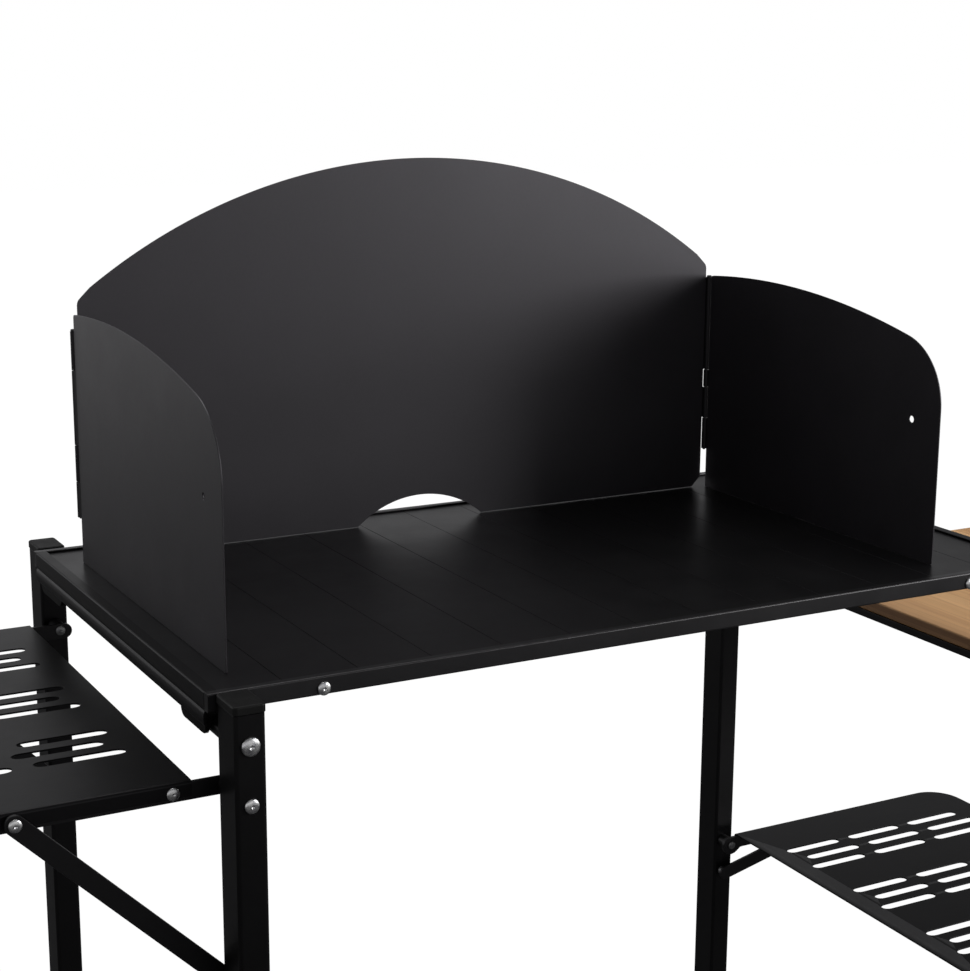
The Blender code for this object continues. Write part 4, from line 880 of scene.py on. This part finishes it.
def slotted_shelf(name, node, edge, way, length, z, columns):
    """Pressed sheet: flat field with slots, a rim folded down over a small
    radius on three sides, open on the inner side."""
    t, fold, flange, big = 1.2, 2.2, 10.0, 29.0
    y0, y1 = SHELF_Y
    far = edge + way * length
    # contour of the outside from the inner front corner round to the inner rear
    contour = []
    m = 14
    contour.append(((edge, y0), (0.0, -1.0)))
    for i in range(m + 1):
        a = math.radians(-90.0 + 90.0 * i / m)
        contour.append(((far - way * big + way * big * math.cos(a), y0 + big + big * math.sin(a)), (way * math.cos(a), math.sin(a))))
    for i in range(m + 1):
        a = math.radians(90.0 * i / m)
        contour.append(((far - way * big + way * big * math.cos(a), y1 - big + big * math.sin(a)), (way * math.cos(a), math.sin(a))))
    contour.append(((edge, y1), (0.0, 1.0)))
    section = [(-fold, 0.0)]
    for i in range(1, 6):
        a = math.radians(90.0 * i / 5)
        section.append((-fold + fold * math.sin(a), -fold + fold * math.cos(a)))
    section += [(0.0, -flange + 0.25), (-0.25, -flange), (-t + 0.25, -flange), (-t, -flange + 0.25)]
    for i in range(5, -1, -1):
        a = math.radians(90.0 * i / 5)
        section.append((-fold + (fold - t) * math.sin(a), -fold + (fold - t) * math.cos(a)))
    s = Shape()
    rings = []
    for (x, y), (nx, ny) in contour:
        rings.append([(x + nx * u, y + ny * u, z + v) for u, v in section])
    for a, b in zip(rings, rings[1:]):
        s.strip(a, b, closed=False)
    s.face(rings[0])
    s.face(rings[-1])
    top_loop = [(r[0][0], r[0][1]) for r in rings]
    low_loop = [(r[-1][0], r[-1][1]) for r in rings]
    slots = []
    for c in range(columns):
        for g in (-1, 0, 1):
            for k in (-1, 0, 1):
                y = TOP_D / 2 + 4.3 + g * 93.0 + k * 18.5
                start = 18.0 + c * 69.0 + (8.2 if k == 0 else 0.0)
                a, b = sorted((edge + way * start, edge + way * (start + 56.4)))
                slots.append(ccw(slot_outline(a, b, y)))
    wide = [offset(h, -0.25) for h in slots]
    for loop, height in ((top_loop, z), (low_loop, z - t)):
        for points in fill(ccw(loop), wide):
            s.face([(u, v, height) for u, v in points])
    for outer_ring, ring in zip(wide, slots):
        levels = [(outer_ring, z), (ring, z - 0.25), (ring, z - t + 0.25), (outer_ring, z - t)]
        for (a, za), (b, zb) in zip(levels, levels[1:]):
            s.strip([(u, v, za) for u, v in a], [(u, v, zb) for u, v in b])
    # inner straight edge between the two flat faces
    s.face([rings[0][0], rings[-1][0], rings[-1][-1], rings[0][-1]])
    return make(name, s, M_SHELF, node)


slotted_shelf("left_slotted_shelf", "left_shelf", -8.0, -1.0, 313.5, -53.0, 4)
slotted_shelf("lower_slotted_shelf", "lower_shelf", TOP_W - 9.5, 1.0, 242.0, -341.0, 3)


# ---- wing arms and stays ------------------------------------------------
def arm(wing, node, pivot, way, front, length, lobe, top, bolts=()):
    px, pz = pivot
    y0 = ARM_Y[0] if front else ARM_Y[1]
    y1 = y0 + ARM_T
    low = top - ARM_H
    start = 90.0 if lobe > ARM_H * 0.6 and top - pz >= lobe - 0.5 else math.degrees(math.asin(min(1.0, (top - pz) / lobe)))
    loop = []
    for i in range(29):
        a = math.radians(start + (-90.0 - start) * i / 28)
        loop.append((px - way * lobe * math.cos(a), pz + lobe * math.sin(a)))
    end = px + way * length
    if lobe > ARM_H * 0.6:
        reach = math.sqrt(lobe * lobe - (low - pz) ** 2)
        loop += [(px + way * reach * 0.45, pz - lobe * 0.9), (px + way * reach * 0.75, pz - lobe * 0.72), (px + way * (reach + 1.4), low - 0.25), (px + way * (reach + 4.0), low)]
    else:
        # no lobe: the bar itself ends in a half round just past the pivot
        loop = [(px - way * (ARM_TAIL - lobe + lobe * math.cos(a)), (top + low) / 2 + lobe * math.sin(a)) for a in (math.radians(90.0 - 180.0 * i / 24) for i in range(25))]
    loop += [(end - way * 3.4, low), (end - way * 1.4, low + 0.5), (end - way * 0.4, low + 1.5), (end, low + 3.2), (end, top - 1.2), (end - way * 0.4, top - 0.4), (end - way * 1.2, top)]
    if start == 90.0:
        loop.append((px + way * 2.0, top))
    s = Shape()
    plate(s, "y", loop, y0, y1, 0.4, 2)
    leg_in, leg_out = (FRONT_LEG[1], FRONT_LEG[0]) if front else (REAR_LEG[0], REAR_LEG[1])
    d = -1.0 if front else 1.0
    near = y0 if front else y1
    lo, hi = sorted((near - d * 0.2, leg_in - d * GAP))
    lathe(s, "y", px, pz, lo, 1.0, [(0, 0), (5.2, 0), (5.5, 0.3), (5.5, hi - lo - 0.3), (5.2, hi - lo), (0, hi - lo)], 32)
    end_name = "front" if front else "rear"
    make(f"{wing}_bar_{end_name}", s, M_ARM, node)
    lo, hi = sorted((near, leg_out + d * 0.6))
    pin(f"{wing}_pivot_pin_{end_name}", node, "y", px, pz, lo, hi, 3.0, M_DULL)
    head(f"{wing}_pivot_head_{end_name}", node, "y", px, pz, leg_out + d * GAP, d, 4.5, 2.0)
    inner = y1 if front else y0
    head(f"{wing}_pivot_nut_{end_name}", node, "y", px, pz, inner + d * 0.05, -d, 3.6, 1.5, M_DULL)
    rim = SHELF_Y[0] if front else SHELF_Y[1]
    for i, bx in enumerate(bolts):
        lo, hi = sorted((near - d * 0.2, rim + d * 0.6))
        pin(f"{wing}_rim_screw_{end_name}_{i + 1}", node, "y", bx, top - 5.0, lo, hi, 2.0, M_DULL, 16)
        head(f"{wing}_rim_head_{end_name}_{i + 1}", node, "y", bx, top - 5.0, rim + d * 0.02, d, 4.0, 1.75, M_ZINC)


def stay(wing, node, pivot, way, front, ends):
    px, pz = pivot
    qx, qz, rx, rz = px + way * ends[0], pz, px, pz - ends[1]
    y0 = STAY_Y[0] if front else STAY_Y[1]
    along = math.atan2(rz - qz, rx - qx)
    half = STAY_W / 2
    loop = []
    for (cx, cz), facing in (((qx, qz), along + math.pi), ((rx, rz), along)):
        for i in range(17):
            a = facing - math.pi / 2 + math.pi * i / 16
            loop.append((cx + half * math.cos(a), cz + half * math.sin(a)))
    s = Shape()
    plate(s, "y", loop, y0, y0 + STAY_T, 0.35, 2)
    d = 1.0 if front else -1.0
    face = y0 + STAY_T if front else y0
    skin = SHELF_Y[0] - GAP if front else SHELF_Y[1] + GAP
    lo, hi = sorted((face, skin))
    lathe(s, "y", qx, qz, lo, 1.0, [(0, 0), (4.5, 0), (4.5, hi - lo), (0, hi - lo)], 28)
    end_name = "front" if front else "rear"
    make(f"{wing}_strut_{end_name}", s, M_ARM, node)
    inner = ARM_Y[0] + ARM_T if front else ARM_Y[1]
    lo, hi = sorted((face, inner + d * 0.5))
    pin(f"{wing}_strut_pin_{end_name}", node, "y", qx, qz, lo, hi, 2.5, M_DULL, 20)
    head(f"{wing}_strut_nut_{end_name}", node, "y", qx, qz, inner + d * GAP, d, 4.0, 1.4, M_DULL)
    outer = y0 if front else y0 + STAY_T
    head(f"{wing}_strut_head_{end_name}", node, "y", qx, qz, outer + d * 0.05, -d, 4.0, 1.7, M_ZINC)


LEFT_BOLTS = (-19.5, -284.0)
LOWER_BOLTS = (TOP_W + 19.5, TOP_W + 196.0)
left_top, lower_top, board_low = -53.0 - 1.5, -341.0 - 1.5, -92.4 - GAP
for end, front in (("front", True), ("rear", False)):
    arm("left_arm", f"left_arm_{end}", LEFT_PIVOT, -1.0, front, 305.0, ARM_H / 2, left_top, LEFT_BOLTS)
    stay("left_stay", f"left_stay_{end}", LEFT_PIVOT, -1.0, front, LEFT_STAY)
    arm("lower_arm", f"lower_arm_{end}", LOWER_PIVOT, 1.0, front, 218.0, 9.0, lower_top, LOWER_BOLTS)
    stay("lower_stay", f"lower_stay_{end}", LOWER_PIVOT, 1.0, front, RIGHT_STAY)
    arm("bamboo_arm", f"bamboo_arm_{end}", RIGHT_PIVOT, 1.0, front, 224.0, 10.0, board_low)
    stay("bamboo_stay", f"bamboo_stay_{end}", RIGHT_PIVOT, 1.0, front, RIGHT_STAY)

# shoulder studs on the legs that the stays rest on
for label, (px, pz), side, drop in (("left", LEFT_PIVOT, "left", LEFT_STAY[1]), ("bamboo", RIGHT_PIVOT, "right", RIGHT_STAY[1]), ("lower", LOWER_PIVOT, "right", RIGHT_STAY[1])):
    for end, lo, hi, way in (("front", FRONT_LEG[1] - 0.4, STAY_Y[0] - STUD_SHORT, 1.0), ("rear", STAY_Y[1] + STAY_T + STUD_SHORT, REAR_LEG[0] + 0.4, -1.0)):
        s = Shape()
        base = lo if way > 0 else hi
        long = hi - lo
        lathe(s, "y", px, pz - drop, base, way, [(0, 0), (4.0, 0), (4.0, 1.1), (3.6, 1.4), (3.6, 2.0), (4.0, 2.3), (4.0, long - 0.4), (3.6, long), (0, long)], 28)
        make(f"{label}_stud_{end}", s, M_DULL, f"leg_{end}_{side}", replace=False, angle=50)

# ---- bamboo board -------------------------------------------------------
board_x = TOP_W + 8.0
s = Shape()
r = 1.4
levels = []
for k in range(5):
    a = math.pi / 2 * k / 4
    levels.append((-92.4 + r * (1 - math.cos(a)), r * (1 - math.sin(a))))
levels += [(-92.4 - 82.4 - w, i) for w, i in reversed(levels)]
stack(s, "z", rounded(board_x, SHELF_Y[0], board_x + 313.5, SHELF_Y[1], [2.0, 20.0, 20.0, 2.0], 12), levels)
make("bamboo_top_board", s, M_BAMBOO, "bamboo_board")

s = Shape()
low = board_low
loop = soften([(board_x, low), (board_x, low - 6.0), (board_x + 1.5, low - 6.0), (board_x + 1.5, low - 1.5), (board_x + 14.0, low - 1.5), (board_x + 14.0, low)], 0.4, 2)
plate(s, "y", loop, ARM_Y[0] + ARM_T + GAP, ARM_Y[1] - GAP, 0.2)
make("board_end_rail", s, M_ARM, "bamboo_end_rail")
for k, y in enumerate((60.0, 180.0, 300.0)):
    head(f"board_screw_{k + 1}", "bamboo_end_rail", "z", board_x + 8.0, y, low - 1.5, -1.0, 3.0, 1.2, M_ZINC, 0.8)

# small angle tabs that hold the board to its arms
for end, front in (("front", True), ("rear", False)):
    d = 1.0 if front else -1.0
    inner = ARM_Y[0] + ARM_T if front else ARM_Y[1]
    for k, x in enumerate((TOP_W + 60.0, TOP_W + 185.0)):
        s = Shape()
        loop = soften([(inner, low), (inner + d * 15.0, low), (inner + d * 15.0, low - 1.4), (inner + d * 1.4, low - 1.4), (inner + d * 1.4, low - 9.5), (inner, low - 9.5)], 0.35, 2)
        plate(s, "x", loop, x - 9.0, x + 9.0, 0.3)
        make(f"board_tab_{end}_{k + 1}", s, M_ARM, f"bamboo_arm_{end}", replace=False)
        head(f"board_tab_screw_{end}_{k + 1}", f"bamboo_arm_{end}", "z", x, inner + d * 9.0, low - 1.4, -1.0, 2.8, 1.2, M_ZINC, 0.8)


# ---- scissor brace ------------------------------------------------------
BRACE_L, BRACE_LOW = 378.0, -775.0
BRACE_Y = (394.0, 396.8)
BRACE_T, BRACE_W = 2.5, 16.0
half_span = (TOP_W - 2 * POST_X) / 2
rise = math.sqrt(BRACE_L ** 2 - half_span ** 2)
mid = TOP_W / 2
LOW_L, LOW_R = (POST_X, BRACE_LOW), (TOP_W - POST_X, BRACE_LOW)
UP_L, UP_R = (POST_X, BRACE_LOW + rise), (TOP_W - POST_X, BRACE_LOW + rise)
MID_T, MID_B = (mid, BRACE_LOW + rise), (mid, BRACE_LOW)
CROSS_L = ((POST_X + mid) / 2, BRACE_LOW + rise / 2)
CROSS_R = ((TOP_W - POST_X + mid) / 2, BRACE_LOW + rise / 2)
LEG_BACK = REAR_LEG[1]
SLEEVE_BACK = LEG_BACK + 0.4 + 2.6


def bar(name, node, p, q, layer):
    y0 = BRACE_Y[layer]
    half = BRACE_W / 2
    along = math.atan2(q[1] - p[1], q[0] - p[0])
    loop = []
    for (cx, cz), facing in ((q, along), (p, along + math.pi)):
        for i in range(21):
            a = facing - math.pi / 2 + math.pi * i / 20
            loop.append((cx + half * math.cos(a), cz + half * math.sin(a)))
    s = Shape()
    plate(s, "y", loop, y0, y0 + BRACE_T, 0.4, 2)
    return make(name, s, M_BRACE, node)


def joint_pin(name, node, at, lo, hi, base, way, collar=None):
    pin(name, node, "y", at[0], at[1], lo, hi, 3.0, M_DULL)
    head(name + "_head", node, "y", at[0], at[1], base, way, 5.0, 1.5 if base < BRACE_Y[1] + BRACE_T - 0.1 else 1.2, M_ZINC, 1.1)
    if collar:
        s = Shape()
        lathe(s, "y", at[0], at[1], collar[0], 1.0, [(0, 0), (5.7, 0), (6.0, 0.3), (6.0, collar[1] - collar[0]), (0, collar[1] - collar[0])], 32)
        make(name + "_collar", s, M_BRACE, node, replace=False, angle=50)


L0, L1 = BRACE_Y
B0, B1 = L0 + BRACE_T, L1 + BRACE_T
bar("scissor_bar_a", "brace_bar_a", LOW_L, MID_T, 0)
joint_pin("pin_low_left", "brace_bar_a", LOW_L, LEG_BACK - 8.0, B0 + 0.1, B0, 1.0, (LEG_BACK + GAP, L0))
joint_pin("pin_cross_left", "brace_bar_a", CROSS_L, L0 + 0.5, B1 + 0.5, B1 + GAP, 1.0)
joint_pin("pin_middle_top", "brace_bar_a", MID_T, L0 + 0.5, B1 + 0.5, B1 + GAP, 1.0)
bar("scissor_bar_b", "brace_bar_b", UP_L, MID_B, 1)
joint_pin("pin_slide_left", "brace_bar_b", UP_L, LEG_BACK + 1.2, B1 + 0.1, B1, 1.0, (SLEEVE_BACK + GAP, L1))
bar("scissor_bar_c", "brace_bar_c", MID_T, LOW_R, 1)
joint_pin("pin_low_right", "brace_bar_c", LOW_R, LEG_BACK - 8.0, B1 + 0.1, B1, 1.0, (LEG_BACK + GAP, L1))
bar("scissor_bar_d", "brace_bar_d", MID_B, UP_R, 0)
joint_pin("pin_slide_right", "brace_bar_d", UP_R, LEG_BACK + 1.2, B0 + 0.1, B0, 1.0, (SLEEVE_BACK + GAP, L0))
joint_pin("pin_cross_right", "brace_bar_d", CROSS_R, L0 + 0.5, B1 + 0.5, B1 + GAP, 1.0)
joint_pin("pin_middle_low", "brace_bar_d", MID_B, L0 + 0.5, B1 + 0.5, B1 + GAP, 1.0)

for side, right, at in (("left", False, UP_L), ("right", True, UP_R)):
    x0 = TOP_W - LEG_INSET - LEG_W if right else LEG_INSET
    y0, y1 = REAR_LEG
    low, high = at[1] - 13.0, at[1] + 13.0
    s = Shape()
    stack(
        s, "z", rounded(x0 - 3.0, y0 - 3.0, x0 + LEG_W + 3.0, y1 + 3.0, 4.0, 6),
        [(low, 0.8), (low + 0.25, 0.3), (low + 0.8, 0.0), (low + 3.4, 0.0), (low + 3.7, 0.3), (low + 4.1, 0.3), (low + 4.4, 0.0), (high - 4.4, 0.0), (high - 4.1, 0.3), (high - 3.7, 0.3), (high - 3.4, 0.0), (high - 0.8, 0.0), (high - 0.25, 0.3), (high, 0.8)],
    )
    inner = ccw(rounded(x0 - 0.4, y0 - 0.4, x0 + LEG_W + 0.4, y1 + 0.4, 2.6, 6))
    # open the middle: the two end faces become rings round the bore
    bm = s.bm
    bm.faces.ensure_lookup_table()
    for f in [f for f in bm.faces if len(f.verts) > 8]:
        bm.faces.remove(f)
    outer = offset(ccw(rounded(x0 - 3.0, y0 - 3.0, x0 + LEG_W + 3.0, y1 + 3.0, 4.0, 6)), 0.8)
    for z in (low, high):
        for points in fill(outer, [inner]):
            s.face([(u, v, z) for u, v in points])
    s.strip([(u, v, low) for u, v in inner], [(u, v, high) for u, v in inner])
    make(f"slide_sleeve_{side}", s, M_SLEEVE, f"brace_sleeve_{side}")


# ---- studio -------------------------------------------------------------
def ground():
    bm = bmesh.new()
    reach = 14.0
    rows = 14
    verts = [[bm.verts.new((-reach + 2 * reach * i / rows, -reach + 2 * reach * j / rows, 0.0)) for i in range(rows + 1)] for j in range(rows + 1)]
    for j in range(rows):
        for i in range(rows):
            bm.faces.new((verts[j][i], verts[j][i + 1], verts[j + 1][i + 1], verts[j + 1][i]))
    mesh = bpy.data.meshes.new("studio_floor")
    bm.to_mesh(mesh)
    bm.free()
    made = bpy.data.objects.new("studio_floor", mesh)
    bpy.context.scene.collection.objects.link(made)
    mesh.materials.append(floor_paint_and_glow("floor_paint_and_glow"))


ground()


def softbox(name, at, aim, size_x, size_y, power, spread=None):
    data = bpy.data.lights.new(name, "AREA")
    data.shape = "RECTANGLE"
    data.size, data.size_y = size_x, size_y
    data.energy = power
    made = bpy.data.objects.new(name, data)
    bpy.context.scene.collection.objects.link(made)
    made.location = at
    made.rotation_euler = (Vector(aim) - Vector(at)).to_track_quat("-Z", "Y").to_euler()
    return made


softbox("key_right", (2.6, -0.9, 2.6), (0.0, 0.1, 0.8), 1.4, 1.4, 24.0)
softbox("front_right", (2.3, -2.0, 1.55), (0.0, 0.1, 0.95), 2.0, 1.2, 60.0)
softbox("fill_left", (-3.2, 1.6, 2.4), (0.0, 0.1, 0.8), 1.8, 1.8, 18.0)
softbox("top", (0.2, 1.2, 4.2), (0.0, 0.1, 0.7), 2.6, 2.6, 44.0)

world = bpy.data.worlds.new("studio_air")
bpy.context.scene.world = world
world.use_nodes = True
air = world.node_tree
back = air.nodes["Background"]
back.inputs["Color"].default_value = (1.0, 1.0, 1.0, 1.0)
back.inputs["Strength"].default_value = 1.0
dim = air.nodes.new("ShaderNodeBackground")
dim.inputs["Strength"].default_value = 1.0
place = air.nodes.new("ShaderNodeTexCoord")
split = air.nodes.new("ShaderNodeSeparateXYZ")
air.links.new(place.outputs["Generated"], split.inputs[0])


def air_ramp(fac, marks):
    node = air.nodes.new("ShaderNodeValToRGB")
    elements = node.color_ramp.elements
    while len(elements) < len(marks):
        elements.new(0.5)
    for element, (at, value) in zip(elements, marks):
        element.position = at
        element.color = (value, value, value * 1.01, 1.0)
    air.links.new(fac, node.inputs["Fac"])
    return node.outputs["Color"]


# brightest near the horizon and towards the left, dim overhead
rise_up = air_ramp(split.outputs["Z"], [(0.0, 0.62), (0.22, 0.55), (0.36, 0.27), (0.5, 0.17), (1.0, 0.16)])
across_air = air.nodes.new("ShaderNodeMapRange")
across_air.inputs["From Min"].default_value = -1.0
across_air.inputs["From Max"].default_value = 1.0
air.links.new(split.outputs["X"], across_air.inputs["Value"])
side_light = air_ramp(across_air.outputs["Result"], [(0.0, 1.0), (0.35, 1.0), (0.63, 0.85), (0.83, 0.42), (1.0, 0.36)])
product = air.nodes.new("ShaderNodeMix")
product.data_type = "RGBA"
product.blend_type = "MULTIPLY"
product.inputs[0].default_value = 1.0
tints = [s for s in product.inputs if s.type == "RGBA"]
air.links.new(rise_up, tints[0])
air.links.new(side_light, tints[1])
air.links.new([s for s in product.outputs if s.type == "RGBA"][0], dim.inputs["Color"])
dim.inputs["Strength"].default_value = 1.42
seen = air.nodes.new("ShaderNodeLightPath")
pick = air.nodes.new("ShaderNodeMixShader")
air.links.new(seen.outputs["Is Camera Ray"], pick.inputs[0])
air.links.new(dim.outputs[0], pick.inputs[1])
air.links.new(back.outputs[0], pick.inputs[2])
air.links.new(pick.outputs[0], air.nodes["World Output"].inputs["Surface"])
bpy.context.scene.view_settings.view_transform = "Standard"

# ---- camera -------------------------------------------------------------
YAW, PITCH, ROLL = 0.4955, 0.2248, 0.0058
forward = Vector((math.sin(YAW) * math.cos(PITCH), math.cos(YAW) * math.cos(PITCH), -math.sin(PITCH)))
right_v = Vector((math.cos(YAW), -math.sin(YAW), 0.0))
up_v = right_v.cross(forward)
right_2 = right_v * math.cos(ROLL) + up_v * math.sin(ROLL)
up_2 = -right_v * math.sin(ROLL) + up_v * math.cos(ROLL)
camera = bpy.data.cameras.new("studio_camera")
camera.sensor_fit = "HORIZONTAL"
camera.sensor_width = 36.0
camera.lens = 36.0 * 1938.2 / 970.0
camera.clip_start, camera.clip_end = 0.05, 60.0
holder = bpy.data.objects.new("studio_camera", camera)
bpy.context.scene.collection.objects.link(holder)
holder.location = (-0.67999, -1.18076, 1.16270)
holder.rotation_euler = Matrix((right_2, up_2, -forward)).transposed().to_euler()
bpy.context.scene.camera = holder

bpy.context.view_layer.update()
